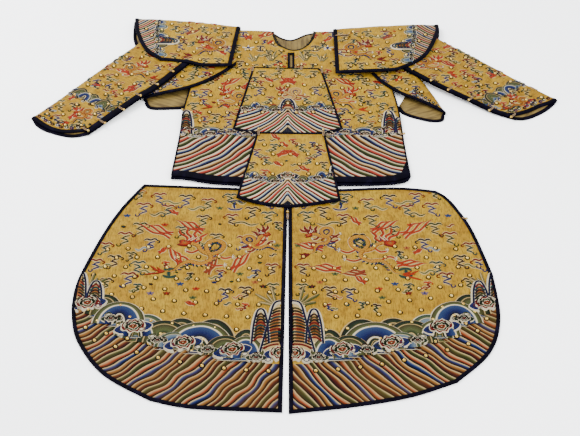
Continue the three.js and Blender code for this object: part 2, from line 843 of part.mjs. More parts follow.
const jacketBack = new Panel({
  name: 'jacket_back',
  stretches: jacketBackStretches,
  bindings: [
    { name: 'jacket_back_binding', run: ([, y]) => y < 600 },
    { name: 'neck_binding', run: ([, y]) => y > 600 },
  ],
})
const backRest = pile.settle()
jacketBack.lay(backRest)

const jacketCovers = [
  outlineOnFloor(frontFlapStretches),
  outlineOnFloor(lowerFlapStretches),
  ...both.flatMap((side) => [guardCover(side), leafCover(side), sleeveCover(side)]),
]
const frontRest = layerAbove(backRest)
const jacketFront = new Panel({
  name: 'jacket_front',
  stretches: jacketFrontStretches,
  holes: [slitLoop(GAP)],
  studs: { across: 57, down: 40.5, origin: [-221, 497], where: (x, y) => y > 235 },
  covers: jacketCovers,
  bindings: [{ name: 'jacket_front_binding' }],
})
jacketFront.lay(frontRest)
const slitBinding = new Edging({
  name: 'slit_binding',
  outline: { points: slitLoop(0), widths: slitLoop(0).map(() => slit.binding) },
})
slitBinding.build(laid(frontRest), satin)

const frontFlap = new Panel({
  name: 'front_flap',
  stretches: frontFlapStretches,
  studs: { across: 54, down: 44, origin: [-55, 510], where: (x, y) => y > 300 },
  covers: [outlineOnFloor(lowerFlapStretches)],
  bindings: [{ name: 'front_flap_binding' }],
})
frontFlap.lay()

const lowerFlap = new Panel({
  name: 'lower_flap',
  stretches: lowerFlapStretches,
  studs: { across: 54, down: 44, origin: [-46, 176], where: (x, y) => y > 20 && y < 190 },
  bindings: [{ name: 'lower_flap_binding' }],
})
lowerFlap.lay(pile.settle({ reach: PILE.reach, slope: 0.25 }))

for (const side of both) leafPair[side].layFront()
for (const side of both) {
  const sleeve = sleevePair[side]
  sleeve.layBack()
  sleeve.layFront(layerAbove(sleeve.fold.back))
}
for (const side of both) guardPair[side].layFront()

// Loops and buttons, on top
const UPRIGHT = Math.PI / 2
const flapLoops = [[-144, 552], [-60, 556], [17, 556], [84, 540]]
flapLoops.forEach((spot, i) => toggle(`front_flap_loop_${i + 1}`, spot, UPRIGHT, 34, 8, ON_STEP))
const lowerLoops = [[-119, 232], [83, 230]]
lowerLoops.forEach((spot, i) => toggle(`lower_flap_loop_${i + 1}`, spot, UPRIGHT, 34, 8, ON_STEP))
for (const side of both) {
  const { fold, loops } = sleeves[side]
  const angle = Math.atan2(fold.across[1], fold.across[0])
  loops.forEach((spot, i) => toggle(`sleeve_${side}_loop_${i + 1}`, spot, angle, 30, 8))
}
toggle('skirt_tie', [-28, -122], UPRIGHT, 30, 8)
toggle('skirt_toggle', [490, -133], -0.45, 18, 8)
toggle('jacket_toggle_left', [-360, 342], Math.PI, 18, 8)
toggle('jacket_toggle_right', [331, 229], 0, 18, 8)
toggle('shoulder_guard_tie', [158, 724], 0.06, 52, 5, ON_STEP)

export default armour
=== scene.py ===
import json
import math
import random

import bpy
import numpy as np
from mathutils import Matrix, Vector
from mathutils.bvhtree import BVHTree
from mathutils.geometry import delaunay_2d_cdt

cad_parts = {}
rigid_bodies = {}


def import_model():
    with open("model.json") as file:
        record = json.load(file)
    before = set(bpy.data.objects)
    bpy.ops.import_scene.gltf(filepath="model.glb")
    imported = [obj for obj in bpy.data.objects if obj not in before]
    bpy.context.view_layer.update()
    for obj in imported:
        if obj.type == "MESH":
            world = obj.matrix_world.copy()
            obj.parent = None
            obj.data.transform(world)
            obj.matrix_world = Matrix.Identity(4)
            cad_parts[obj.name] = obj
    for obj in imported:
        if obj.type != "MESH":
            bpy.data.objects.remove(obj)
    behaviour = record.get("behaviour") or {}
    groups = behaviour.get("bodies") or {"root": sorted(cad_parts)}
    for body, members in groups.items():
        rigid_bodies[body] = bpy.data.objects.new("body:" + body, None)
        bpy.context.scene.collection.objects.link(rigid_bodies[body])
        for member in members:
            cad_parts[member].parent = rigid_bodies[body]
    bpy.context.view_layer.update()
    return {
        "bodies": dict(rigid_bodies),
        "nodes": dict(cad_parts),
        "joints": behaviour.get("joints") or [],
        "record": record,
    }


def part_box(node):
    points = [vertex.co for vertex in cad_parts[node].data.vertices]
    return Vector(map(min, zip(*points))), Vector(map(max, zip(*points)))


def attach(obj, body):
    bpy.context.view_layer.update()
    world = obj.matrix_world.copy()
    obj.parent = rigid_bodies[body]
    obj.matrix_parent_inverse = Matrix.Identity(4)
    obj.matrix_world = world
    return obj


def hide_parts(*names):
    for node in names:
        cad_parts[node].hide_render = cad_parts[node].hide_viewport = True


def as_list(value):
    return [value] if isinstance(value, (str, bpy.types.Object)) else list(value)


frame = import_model()

# Sizes in millimetres, unless a name says otherwise
MM = 0.001
CLOTH = 4.0
GAP = 0.3
CLOTH_SPACING = 9.0
EDGE_STEP = 9.0
MIDDLE = -28.0
FLOOR_GAP = 0.2
INNER_FACE = 0.4
UNDER_BINDING = 1.2
DIMPLE_DEPTH = 0.9
DIMPLE_REACH = 15
ROW_SHARE = 0.87
POINTS_AT_ONCE = 3000

# The studs in the part and the silk cords
BUMP_RADIUS = 5.4
BUMP_HEIGHT = 3.2
CORD_RADIUS = 1.3
CORD_LIFT = 1.6
CORD_POINTS = 28

# The camera, in metres and degrees, worked out from how the stud rows shrink with distance
CAMERA_PLACE = (-0.0211, -2.5894, 2.5104)
CAMERA_TILT = 44.46
CAMERA_LENS = 74.55
LAMP_AIM = (0, -0.1, 0)


# Colours of the silks as sRGB, made deeper and darker for the strong studio light
DEPTH = 1.35
# Painted shade: every silk colour is scaled down by this share to offset the strong lamps
PAINTED_SHADE_SCALE = 0.34


def silk_colour(red, green, blue):
    def deepened(value):
        value = value / 255
        linear = value / 12.92 if value <= 0.04045 else ((value + 0.055) / 1.055) ** 2.4
        return PAINTED_SHADE_SCALE * linear ** DEPTH

    return (deepened(red), deepened(green), deepened(blue), 1.0)


SILK = {
    "cream": silk_colour(214, 190, 138),
    "white": silk_colour(236, 224, 196),
    "pale_blue": silk_colour(142, 156, 162),
    "sky": silk_colour(70, 94, 132),
    "blue": silk_colour(22, 42, 108),
    "navy": silk_colour(10, 14, 52),
    "ink": silk_colour(6, 4, 12),
    "green": silk_colour(50, 70, 30),
    "olive": silk_colour(82, 74, 34),
    "sage": silk_colour(112, 118, 74),
    "teal": silk_colour(34, 78, 76),
    "coral": silk_colour(160, 82, 34),
    "salmon": silk_colour(184, 124, 72),
    "red": silk_colour(128, 22, 0),
    "flame": silk_colour(186, 74, 0),
    "maroon": silk_colour(60, 8, 6),
    "ochre": silk_colour(166, 108, 36),
    "tan": silk_colour(150, 110, 56),
    "rose": silk_colour(204, 96, 80),
    "pink": silk_colour(170, 124, 80),
    "lilac": silk_colour(134, 116, 138),
    "brown": silk_colour(54, 30, 18),
    "grey": silk_colour(88, 88, 88),
    "gold": silk_colour(176, 130, 46),
    "thread": silk_colour(206, 158, 62),
}


# Outlines, as in the part: a stretch is straight, or a smooth curve through its points
def straight(*points):
    return {"points": points, "smooth": False}


def curve(*points):
    return {"points": points, "smooth": True}


def bound(width, stretch):
    return {**stretch, "bound": width}


def backwards(stretch):
    return {**stretch, "points": tuple(reversed(stretch["points"]))}


def half(sign, bend, stretch):
    return {**stretch, "points": tuple((u, sign * (v + bend)) for u, v in stretch["points"])}


def over_fold(u, sign, bend):
    return {**straight((u, sign * bend), (u, -sign * bend)), "step": bend / 3}


def spline(points, per_stretch=24):
    points = np.asarray(points, float)
    count = len(points)
    result = []
    for i in range(count - 1):
        before, start, end, after = (points[k] for k in (max(i - 1, 0), i, i + 1, min(i + 2, count - 1)))
        for t in np.arange(per_stretch) / per_stretch:
            lead, tail = (end - before) / 2, (after - start) / 2
            result.append(
                (2 * start - 2 * end + lead + tail) * t ** 3
                + (3 * end - 3 * start - 2 * lead - tail) * t ** 2
                + lead * t + start
            )
    result.append(points[-1])
    return np.array(result)


def spaced(points, step=None, count=None):
    points = np.asarray(points, float)
    lengths = np.hypot(*np.diff(points, axis=0).T)
    along = np.concatenate([[0], np.cumsum(lengths)])
    if count is None:
        count = max(2, math.ceil(along[-1] / step))
    wanted = np.linspace(0, along[-1], count + 1)
    return np.stack([np.interp(wanted, along, points[:, k]) for k in (0, 1)], axis=1)


def sample(stretch, step=EDGE_STEP):
    step = stretch.get("step", step)
    if stretch["smooth"]:
        return spaced(spline(stretch["points"]), step)
    pieces = []
    for a, b in zip(stretch["points"], stretch["points"][1:]):
        pieces.append(spaced([a, b], count=max(1, math.ceil(math.dist(a, b) / step)))[:-1])
    pieces.append(np.array([stretch["points"][-1]], float))
    return np.concatenate(pieces)


def signed_area(points):
    x, y = points.T
    return float(np.sum(x * np.roll(y, -1) - y * np.roll(x, -1)) / 2)


class Outline:
    """A closed outline with the width of the binding along each of its edges."""

    def __init__(self, stretches, fold=None):
        samples = [sample(stretch)[:-1] for stretch in stretches]
        widths = [np.full(len(s), stretch.get("bound", 0.0)) for s, stretch in zip(samples, stretches)]
        self.points = np.concatenate(samples)
        self.widths = np.concatenate(widths)
        self.fold = fold
        if signed_area(self.points) < 0:
            self.points = np.roll(self.points[::-1], 1, axis=0)
            self.widths = self.widths[::-1]

    def inset(self, widths):
        p, fold = self.points, self.fold
        edge = np.roll(p, -1, axis=0) - p
        edge /= np.maximum(np.hypot(*edge.T), 1e-9)[:, None]
        inward = np.stack([-edge[:, 1], edge[:, 0]], axis=1)
        result = p.copy()
        for i in range(len(p)):
            n, m = inward[i - 1], inward[i]
            d, e = widths[i - 1], widths[i]
            if fold and abs(p[i][1]) < fold["bend"] + GAP:
                side = 1 if p[i][0] < fold["length"] / 2 else -1
                result[i] = (p[i][0] + side * max(d, e), p[i][1])
                continue
            turn = n[0] * m[1] - n[1] * m[0]
            if abs(turn) < 0.05:
                result[i] = p[i] + (d + e) / 4 * (n + m)
                continue
            shift = np.array([(d * m[1] - e * n[1]) / turn, (e * n[0] - d * m[0]) / turn])
            longest = 2.2 * max(d, e, 0.1)
            size = np.hypot(*shift)
            result[i] = p[i] + shift * min(1, longest / max(size, 1e-6))
        return result


def is_inside(points, loop):
    points = np.atleast_2d(points)
    x, y = points[:, :1], points[:, 1:]
    x1, y1 = loop.T
    x2, y2 = np.roll(loop, -1, axis=0).T
    crosses = ((y1 > y) != (y2 > y)) & (x < (x2 - x1) * (y - y1) / (y2 - y1 + 1e-12) + x1)
    return crosses.sum(axis=1) % 2 == 1


def edge_distance(points, loop):
    points = np.atleast_2d(points)
    a = loop[None, :, :]
    b = np.roll(loop, -1, axis=0)[None, :, :]
    ab = b - a
    t = np.sum((points[:, None, :] - a) * ab, axis=2) / np.maximum(np.sum(ab * ab, axis=2), 1e-9)
    near = a + np.clip(t, 0, 1)[:, :, None] * ab
    return np.min(np.hypot(*np.moveaxis(points[:, None, :] - near, 2, 0)), axis=1)


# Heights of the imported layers, read from the frame
def tree_of(nodes):
    points = []
    faces = []
    for name in nodes:
        mesh = frame["nodes"][name].data
        base = len(points)
        points += [v.co / MM for v in mesh.vertices]
        faces += [[base + i for i in p.vertices] for p in mesh.polygons]
    return BVHTree.FromPolygons(points, faces)


def crossings(tree, x, y):
    """Heights at which a line straight up goes through the layers."""
    heights = []
    start = -5.0
    while len(heights) < 6:
        hit = tree.ray_cast(Vector((x, y, start)), Vector((0, 0, 1)))[0]
        if hit is None:
            break
        heights.append(hit.z)
        start = hit.z + 0.05
    return heights


class HeightMap:
    """A smooth height over the floor, from scattered readings on a grid."""

    def __init__(self, low, values, cell, blur=2):
        self.low, self.cell = np.array(low, float), cell
        known = ~np.isnan(values)
        filled = np.where(known, values, 0.0)
        while not known.all():
            total = np.zeros_like(filled)
            near = np.zeros_like(filled)
            for dx, dy in ((1, 0), (-1, 0), (0, 1), (0, -1), (1, 1), (-1, -1), (1, -1), (-1, 1)):
                total += shifted(filled * known, dx, dy)
                near += shifted(known.astype(float), dx, dy)
            fresh = (~known) & (near > 0)
            filled[fresh] = total[fresh] / near[fresh]
            known = known | fresh
        for _ in range(blur):
            padded = np.pad(filled, 1, mode="edge")
            rows = (padded[:-2] + 2 * padded[1:-1] + padded[2:]) / 4
            filled = (rows[:, :-2] + 2 * rows[:, 1:-1] + rows[:, 2:]) / 4
        self.values = filled

    def at(self, points):
        place = (points - self.low) / self.cell
        limit = np.array(self.values.shape) - 1.001
        place = np.clip(place, 0, limit)
        i, j = place.astype(int).T
        s, t = (place - np.stack([i, j], axis=1)).T
        v = self.values
        lower = v[i, j] * (1 - s) + v[i + 1, j] * s
        upper = v[i, j + 1] * (1 - s) + v[i + 1, j + 1] * s
        return lower * (1 - t) + upper * t


def shifted(values, dx, dy):
    padded = np.pad(values, 1)
    rows, columns = values.shape
    return padded[1 + dx:1 + dx + rows, 1 + dy:1 + dy + columns]


def height_maps(nodes, readers, cell=8.0, margin=24.0):
    """One map for each reader, which takes the crossings over a point and gives a height."""
    tree = tree_of(nodes)
    boxes = [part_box(name) for name in nodes]
    low = [min(box[0][k] for box in boxes) / MM - margin for k in (0, 1)]
    high = [max(box[1][k] for box in boxes) / MM + margin for k in (0, 1)]
    counts = [math.ceil((high[k] - low[k]) / cell) + 2 for k in (0, 1)]
    tables = [np.full(counts, np.nan) for _ in readers]
    for i in range(counts[0]):
        for j in range(counts[1]):
            x, y = low[0] + i * cell, low[1] + j * cell
            heights = crossings(tree, x, y)
            for table, reader in zip(tables, readers):
                table[i, j] = reader(heights, x, y)
    return [HeightMap(low, table, cell) for table in tables]


# Meshes
def link(name, vertices, faces, materials, colours=None, fields=None, cut=None, face_slots=None):
    """A mesh object from millimetres, with its colours, its fields and its place in the cut."""
    mesh = bpy.data.meshes.new(name)
    vertices = np.asarray(vertices, float) * MM
    mesh.from_pydata(vertices.tolist(), [], [list(map(int, f)) for f in faces])
    for material in materials:
        mesh.materials.append(material)
    if face_slots is not None:
        mesh.polygons.foreach_set("material_index", np.asarray(face_slots, np.int32))
    if colours is not None:
        layer = mesh.attributes.new("tint", "FLOAT_COLOR", "POINT")
        layer.data.foreach_set("color", np.asarray(colours, np.float32).ravel())
    for field, values in (fields or {}).items():
        layer = mesh.attributes.new(field, "FLOAT", "POINT")
        layer.data.foreach_set("value", np.asarray(values, np.float32))
    if cut is not None:
        layer = mesh.uv_layers.new(name="cut")
        corners = np.zeros(len(mesh.loops), np.int32)
        mesh.loops.foreach_get("vertex_index", corners)
        layer.data.foreach_set("uv", (np.asarray(cut, float) * MM)[corners].astype(np.float32).ravel())
    mesh.polygons.foreach_set("use_smooth", np.ones(len(mesh.polygons), bool))
    mesh.update()
    piece = bpy.data.objects.new(name, mesh)
    bpy.context.scene.collection.objects.link(piece)
    return piece


def volume_of(vertices, faces):
    total = 0.0
    for face in faces:
        a = vertices[face[0]]
        for k in range(1, len(face) - 1):
            total += float(np.dot(a, np.cross(vertices[face[k]], vertices[face[k + 1]])))
    return total


def outward(vertices, faces):
    vertices = np.asarray(vertices, float)
    if volume_of(vertices - vertices.mean(axis=0), faces) < 0:
        return [tuple(reversed(face)) for face in faces]
    return faces


def triangulated(loops, inner):
    """Triangles inside the first loop and outside the others, through the inner points."""
    points = [Vector(p) for p in np.concatenate(loops + [inner])]
    edges = []
    start = 0
    for loop in loops:
        count = len(loop)
        edges += [(start + i, start + (i + 1) % count) for i in range(count)]
        start += count
    found, _, faces, *_ = delaunay_2d_cdt(points, edges, [], 1, 1e-6)
    found = np.array([tuple(p) for p in found])
    faces = np.array([list(f) for f in faces if len(f) == 3])
    centres = found[faces].mean(axis=1)
    keep = is_inside(centres, loops[0])
    for hole in loops[1:]:
        keep &= ~is_inside(centres, hole)
    faces = faces[keep]
    a, b, c = (found[faces[:, k]] for k in range(3))
    turn = (b[:, 0] - a[:, 0]) * (c[:, 1] - a[:, 1]) - (b[:, 1] - a[:, 1]) * (c[:, 0] - a[:, 0])
    faces[turn < 0] = faces[turn < 0][:, ::-1]
    return found, faces


def hexagonal(loops, spacing, clearance):
    low, high = loops[0].min(axis=0), loops[0].max(axis=0)
    rows = np.arange(low[1], high[1], spacing * ROW_SHARE)
    columns = np.arange(low[0], high[0], spacing)
    points = np.array([(x + (spacing / 2 if r % 2 else 0), y) for r, y in enumerate(rows) for x in columns])
    keep = is_inside(points, loops[0])
    for hole in loops[1:]:
        keep &= ~is_inside(points, hole)
    points = points[keep]
    for loop in loops:
        points = points[edge_distance(points, loop) > clearance]
    return points


class Panel:
    """One cut of cloth with its bindings: it knows where a point of the cut lies."""

    def __init__(self, node, stretches, bindings, fold=None, holes=(), creases=(), face_down=False):
        self.node = node
        self.fold = fold
        self.outline = Outline(stretches, fold)
        self.holes = [np.array(hole, float)[::-1] for hole in holes]
        self.bindings = bindings
        self.creases = creases
        self.face_down = face_down
        self.studs = stud_places(node)
        self.dimples = [self.cut_place(x, y) for x, y, _ in self.studs]
        self.read_heights()

    def read_heights(self):
        nodes = [self.node, *self.bindings]
        if not self.fold:
            self.rest, = height_maps(nodes, [lambda heights, x, y: heights[0] if heights else np.nan])
            return
        fold = self.fold
        v = self.outline.points[:, 1]
        front = self.outline.points[v >= fold["bend"] - 0.01]
        back = self.outline.points[v <= -fold["bend"] + 0.01]

        def within(loop, sign, x, y):
            return is_inside((self.cut_place(x, y, sign),), loop)[0]

        def reader(layer, own, sign, other):
            def height(heights, x, y):
                if len(heights) >= 4:
                    return heights[layer]
                if len(heights) == 2 and within(own, sign, x, y) and not within(other, -sign, x, y):
                    return heights[0]
                return np.nan

            return height

        self.front, self.back = height_maps(nodes, [reader(2, front, 1, back), reader(0, back, -1, front)])

    def cut_place(self, x, y, sign=1):
        """The point of the cut that lies over a point of the floor."""
        fold = self.fold
        if not fold:
            return np.array((x, y), float)
        away = np.array((x, y)) - fold["origin"]
        return np.array((away @ fold["along"], sign * (away @ fold["across"] + fold["bend"])))

    def place(self, cut, height):
        cut = np.atleast_2d(np.asarray(cut, float))
        height = np.broadcast_to(np.asarray(height, float), len(cut))
        if not self.fold:
            z = self.rest.at(cut) + (CLOTH - height if self.face_down else height)
            return np.column_stack([cut, np.maximum(z, FLOOR_GAP)])
        fold = self.fold
        u, v = cut.T
        bend = fold["bend"]
        reach = np.maximum(np.abs(v) - bend, 0)
        flat = fold["origin"] + u[:, None] * fold["along"] + reach[:, None] * fold["across"]
        front, back = self.front.at(flat), self.back.at(flat)
        result = np.column_stack([flat, np.where(v > 0, front + height, back + CLOTH - height)])
        turning = np.abs(v) < bend
        high, low = front + CLOTH / 2, back + CLOTH / 2
        radius = (high - low) / 2
        angle = np.clip(v / bend, -1, 1) * math.pi / 2
        lift = height - CLOTH / 2
        out = -(radius + lift) * np.cos(angle)
        turned = np.column_stack([
            flat + out[:, None] * fold["across"],
            (high + low) / 2 + (radius + lift) * np.sin(angle),
        ])
        result[turning] = turned[turning]
        result[:, 2] = np.maximum(result[:, 2], FLOOR_GAP)
        return result

    def relief(self, cut):
        """How far the padded face stands above or below its plain height."""
        cut = np.atleast_2d(cut)
        rise = np.zeros(len(cut))
        for start, end, depth, width in self.creases:
            a, b = np.array(start, float), np.array(end, float)
            length = np.hypot(*(b - a))
            t = np.clip((cut - a) @ (b - a) / length ** 2, 0, 1)
            bow = 0.06 * length * np.sin(t * math.pi)
            side = np.array([-(b - a)[1], (b - a)[0]]) / length
            near = a + t[:, None] * (b - a) + bow[:, None] * side
            away = np.hypot(*(cut - near).T) / width
            rise += depth * np.exp(-away ** 2) * np.sin(np.clip(t, 0.06, 0.94) * math.pi) ** 0.6
        for centre in self.dimples:
            away = np.hypot(*(cut - centre).T)
            rise -= DIMPLE_DEPTH * np.exp(-(away / DIMPLE_REACH) ** 2)
        x, y = cut.T
        rise += 0.35 * np.sin(x / 31 + 1.3 * np.sin(y / 47)) * np.sin(y / 37 + 0.8)
        if self.fold:
            rise = np.where(cut[:, 1] > self.fold["bend"], rise, 0)
        return rise

    def lift(self, cut, above=0.0):
        """A point on the outer face, or above it."""
        return self.place(cut, CLOTH + self.relief(cut) + above)

    def loops(self):
        widths = np.where(self.outline.widths > 0, np.maximum(self.outline.widths - UNDER_BINDING, 0.5), 0)
        return [self.outline.inset(widths), *self.holes]

    def cloth(self, name, materials, fields):
        loops = self.loops()
        cut, triangles = triangulated(loops, hexagonal(loops, CLOTH_SPACING, CLOTH_SPACING * 0.6))
        count = len(cut)
        faces = [tuple(t) for t in triangles]
        edges = {(t[k], t[(k + 1) % 3]) for t in faces for k in range(3)}
        rim = [(a, count + a, count + b, b) for a, b in edges if (b, a) not in edges]
        faces += [(count + a, count + c, count + b) for a, b, c in triangles]
        slots = [0] * len(triangles) + [1] * len(triangles) + [0] * len(rim)
        vertices = np.concatenate([self.lift(cut), self.place(cut, INNER_FACE)])
        return link(
            name, vertices, outward(vertices, faces + rim), materials,
            fields={key: np.tile(field(cut), 2) for key, field in fields.items()},
            cut=np.concatenate([cut, cut]), face_slots=slots,
        )

    def area(self):
        return abs(signed_area(self.outline.points)) * MM * MM

    def size(self):
        spread = (self.outline.points.max(axis=0) - self.outline.points.min(axis=0)) * MM
        return float(spread[0]), float(spread[1])


BINDING_PROFILE = (
    (0.03, 0.5), (-0.04, 1.8), (-0.03, 3.6), (0.09, 4.8), (0.3, 5.4), (0.55, 5.6),
    (0.8, 5.3), (0.95, 4.8), (1.0, 4.1), (1.0, 2.4), (0.96, 0.6),
)


def grid_faces(rows, count, wrap_rows=False, wrap=False):
    """Quads between the rows of a grid of points."""
    faces = []
    for r in range(rows if wrap_rows else rows - 1):
        s = (r + 1) % rows
        for i in range(count if wrap else count - 1):
            j = (i + 1) % count
            faces.append((r * count + i, r * count + j, s * count + j, s * count + i))
    return faces


def edging(name, panel, run=None, outline=None):
    """A satin binding: a soft strip between an outline and its inset."""
    outline = outline or panel.outline
    inner = outline.inset(outline.widths)
    count = len(outline.points)
    is_bound = [outline.widths[i] > 0 and (run is None or run(outline.points[i])) for i in range(count)]
    closed = all(is_bound)
    start = 0
    if not closed:
        start = next(i for i in range(count) if is_bound[i] and not is_bound[i - 1])
    chain = [start]
    while is_bound[chain[-1]] and len(chain) < count:
        chain.append((chain[-1] + 1) % count)
    outer_points = outline.points[chain]
    inner_points = inner[chain]
    rows = []
    run_length = np.concatenate([[0], np.cumsum(np.hypot(*np.diff(outer_points, axis=0).T))])
    pucker = 0.25 * np.sin(run_length / 5.3) + 0.3 * np.sin(run_length / 13.7 + 1)
    for t, height in BINDING_PROFILE:
        cut = outer_points + t * (inner_points - outer_points)
        share = max(0.0, (height - 2) / 4)
        if panel.face_down:
            height = CLOTH + 1.2 - height
            share = 0.0
        rows.append(panel.place(cut, height + share * (pucker + panel.relief(cut))))
    rings = np.stack(rows, axis=1)
    length, sides = rings.shape[:2]
    vertices = rings.reshape(-1, 3)
    faces = grid_faces(length, sides, wrap_rows=closed, wrap=True)
    if not closed:
        faces.append(tuple(range(sides))[::-1])
        faces.append(tuple((length - 1) * sides + k for k in range(sides)))
    cut = np.stack([np.repeat(run_length, sides), np.tile([t * 12 for t, _ in BINDING_PROFILE], length)], 1)
    return link(name, vertices, outward(vertices, faces), [SATIN], cut=cut)


def stud_places(node):
    """The tops of the low five-sided bumps that mark the studs on a packed panel."""
    mesh = frame["nodes"][node].data
    keys = {}
    weld = []
    for v in mesh.vertices:
        key = tuple(round(c * 1e5) for c in v.co)
        weld.append(keys.setdefault(key, len(keys)))
    places = {}
    for v, k in zip(mesh.vertices, weld):
        places[k] = v.co / MM
    near = {k: set() for k in places}
    for polygon in mesh.polygons:
        corners = [weld[i] for i in polygon.vertices]
        for a in corners:
            near[a].update(b for b in corners if b != a)
    reach = math.hypot(BUMP_RADIUS, BUMP_HEIGHT)
    tops = []
    for k, others in near.items():
        if len(others) != 5:
            continue
        if all(abs((places[k] - places[o]).length - reach) < 0.9 for o in others):
            tops.append(tuple(places[k]))
    return sorted(tops)


# The cuts, repeated from the part
def fold_line(origin, towards, side, bend, length):
    origin, towards = np.array(origin, float), np.array(towards, float)
    along = (towards - origin) / np.hypot(*(towards - origin))
    across = side * np.array([-along[1], along[0]])
    return {"origin": origin, "along": along, "across": across, "bend": bend, "length": length}


FRONT_FLAP = (
    bound(5, straight((75, 553), (-144, 560))),
    bound(7, straight((-144, 560), (-202, 251))),
    bound(11, straight((-202, 251), (-125, 231), (-28, 214), (88, 231), (146, 251))),
    bound(7, straight((146, 251), (86, 539), (75, 553))),
)
LOWER_FLAP = (
    bound(9, straight((88, 232), (-125, 235))),
    bound(7, straight((-125, 235), (-180, -55))),
    bound(10, curve((-180, -55), (-110, -77), (-28, -91))),
    bound(10, curve((-28, -91), (50, -80), (129, -64))),
    bound(7, straight((129, -64), (88, 232))),
)
GUARD = {"bend": 15, "binding": 13}
GUARDS = {
    "left": {
        "fold": fold_line((-559, 824), (-193, 773), -1, 15, 370),
        "inner": straight((370, 0), (378, 221)),
        "bottom": curve((378, 221), (288, 241), (228, 231), (139, 230)),
        "outer": curve((139, 230), (76, 179), (23, 80), (0, 0)),
        "back_outer": curve((139, 232), (64, 179), (17, 100), (-4, 0)),
        "back_bottom": curve((378, 224), (288, 241), (228, 233), (139, 232)),
        "back_inner": straight((370, 0), (378, 224)),
    },
    "right": {
        "fold": fold_line((491, 785), (128, 762), 1, 15, 364),
        "inner": straight((364, 0), (378, 241)),
        "bottom": curve((378, 241), (266, 251), (186, 252), (155, 241)),
        "outer": curve((155, 241), (109, 217), (57, 162), (8, 50), (0, 0)),
        "back_outer": curve((155, 241), (109, 217), (55, 162), (6, 50), (-2, 0)),
    },
}
LEAF = {"bend": 8, "binding": 12}
LEAVES = {
    "left": {
        "fold": fold_line((-489, 400), (-411, 584), -1, 8, 150),
        "top": straight((150, 0), (300, 40), (300, 190), (265, 200)),
        "lower": curve((265, 200), (164, 158), (90, 104), (20, 19), (0, 0)),
        "back_lower": curve((0, 0), (-16, 9), (-27, 35), (-4, 91), (25, 136), (90, 160)),
        "back_top": straight((90, 160), (150, 0)),
    },
    "right": {
        "fold": fold_line((472, 333), (394, 517), 1, 8, 195),
        "top": straight((195, 0), (300, 30), (300, 134), (262, 132)),
        "lower": curve((262, 132), (213, 126), (130, 92), (59, 38), (0, 0)),
        "back_lower": curve((0, 0), (-21, 13), (-22, 35), (-2, 69), (50, 117), (88, 122)),
        "back_top": straight((88, 122), (195, 0)),
    },
}
SLEEVE = {"bend": 4, "cuff": 14}
SLEEVES = {
    "left": {
        "fold": fold_line((-841, 310), (-545, 669), -1, 4, 583),
        "seam_binding": 20,
        "cuff": curve((0, 0), (-3, 65), (10, 115), (36, 150), (82, 194)),
        "seam": curve((82, 194), (275, 209), (339, 218), (496, 212), (530, 208)),
        "back_cuff": curve((0, 0), (-12, 33), (-10, 79), (18, 154), (63, 192)),
        "back_seam": curve((63, 192), (275, 209), (339, 218), (496, 212), (530, 208)),
        "root": (530, 208),
        "loops": ((-412, 522), (-458, 455), (-509, 401), (-557, 338), (-612, 281), (-662, 250)),
    },
    "right": {
        "fold": fold_line((841, 400), (486, 709), 1, 4, 530),
        "seam_binding": 14,
        "cuff": curve((0, 0), (6, 30), (21, 62), (34, 105), (53, 144), (75, 172)),
        "seam": curve((75, 172), (123, 188), (204, 198), (347, 215), (525, 212)),
        "back_cuff": curve((0, 0), (-3, 22), (0, 67), (12, 113), (28, 145), (51, 165)),
        "back_seam": curve((51, 165), (123, 188), (204, 198), (347, 215), (525, 212)),
        "root": (525, 212),
        "loops": ((388, 534), (445, 478), (497, 434), (560, 389), (621, 344), (688, 318)),
    },
}
SHOULDER = {"left": (-262, 769), "right": (236, 764)}
ARMHOLE = {
    "left": curve(SHOULDER["left"], (-282, 640), (-312, 520), (-348, 454)),
    "right": curve((314, 443), (282, 515), (252, 640), SHOULDER["right"]),
}
NECKLINE = ((58, 758), (55, 729), (26, 673), (-11, 661), (-39, 675), (-59, 700), (-77, 763))
SLIT = {"left": -29, "right": -6, "bottom": 561, "top": 648, "binding": 7.5}
JACKET_FRONT = (
    bound(5, curve((-348, 454), (-364, 342), (-367, 251), (-380, 61), (-380, 40))),
    bound(24, curve((-380, 40), (-337, 38), (-259, 20), (-164, 11))),
    bound(24, straight((-164, 11), (123, 14))),
    bound(24, curve((123, 14), (263, 15), (327, 33), (343, 60))),
    bound(5, curve((343, 60), (334, 212), (328, 344), (314, 443))),
    ARMHOLE["right"],
    straight(SHOULDER["right"], (58, 758)),
    curve(*NECKLINE),
    straight((-77, 763), SHOULDER["left"]),
    ARMHOLE["left"],
)
JACKET_BACK = (
    bound(5, curve((-348, 454), (-364, 342), (-367, 251), (-380, 61), (-381, 34))),
    bound(18, curve((-381, 34), (-337, 31), (-259, 13), (-164, 4))),
    bound(18, straight((-164, 4), (123, 4))),
    bound(18, curve((123, 4), (263, 7), (327, 20), (345, 46))),
    bound(5, curve((345, 46), (334, 212), (328, 344), (314, 443))),
    ARMHOLE["right"],
    straight(SHOULDER["right"], (58, 760)),
    bound(9, curve((58, 760), (28, 752), (0, 734), (-22, 726), (-50, 738), (-77, 764))),
    straight((-77, 764), SHOULDER["left"]),
    ARMHOLE["left"],
)
SKIRT_BINDING = 11
SKIRTS = {
    "left": (
        curve((-460, 13), (-517, -84), (-562, -195), (-606, -344), (-617, -414)),
        curve((-617, -414), (-614, -489), (-587, -588), (-507, -698), (-380, -779)),
        curve((-380, -779), (-306, -799), (-225, -808), (-41, -816)),
        straight((-41, -816), (-29, -91), (-29, -9)),
        curve((-29, -9), (-170, -4), (-460, 13)),
    ),
    "right": (
        straight((-27, -9), (-26, -91), (-24, -820)),
        curve((-24, -820), (138, -800), (287, -770), (411, -723)),
        curve((411, -723), (508, -626), (548, -507), (546, -350)),
        curve((546, -350), (509, -183), (472, -89), (443, -40), (415, -15)),
        curve((415, -15), (307, -1), (117, -8), (-27, -9)),
    ),
}


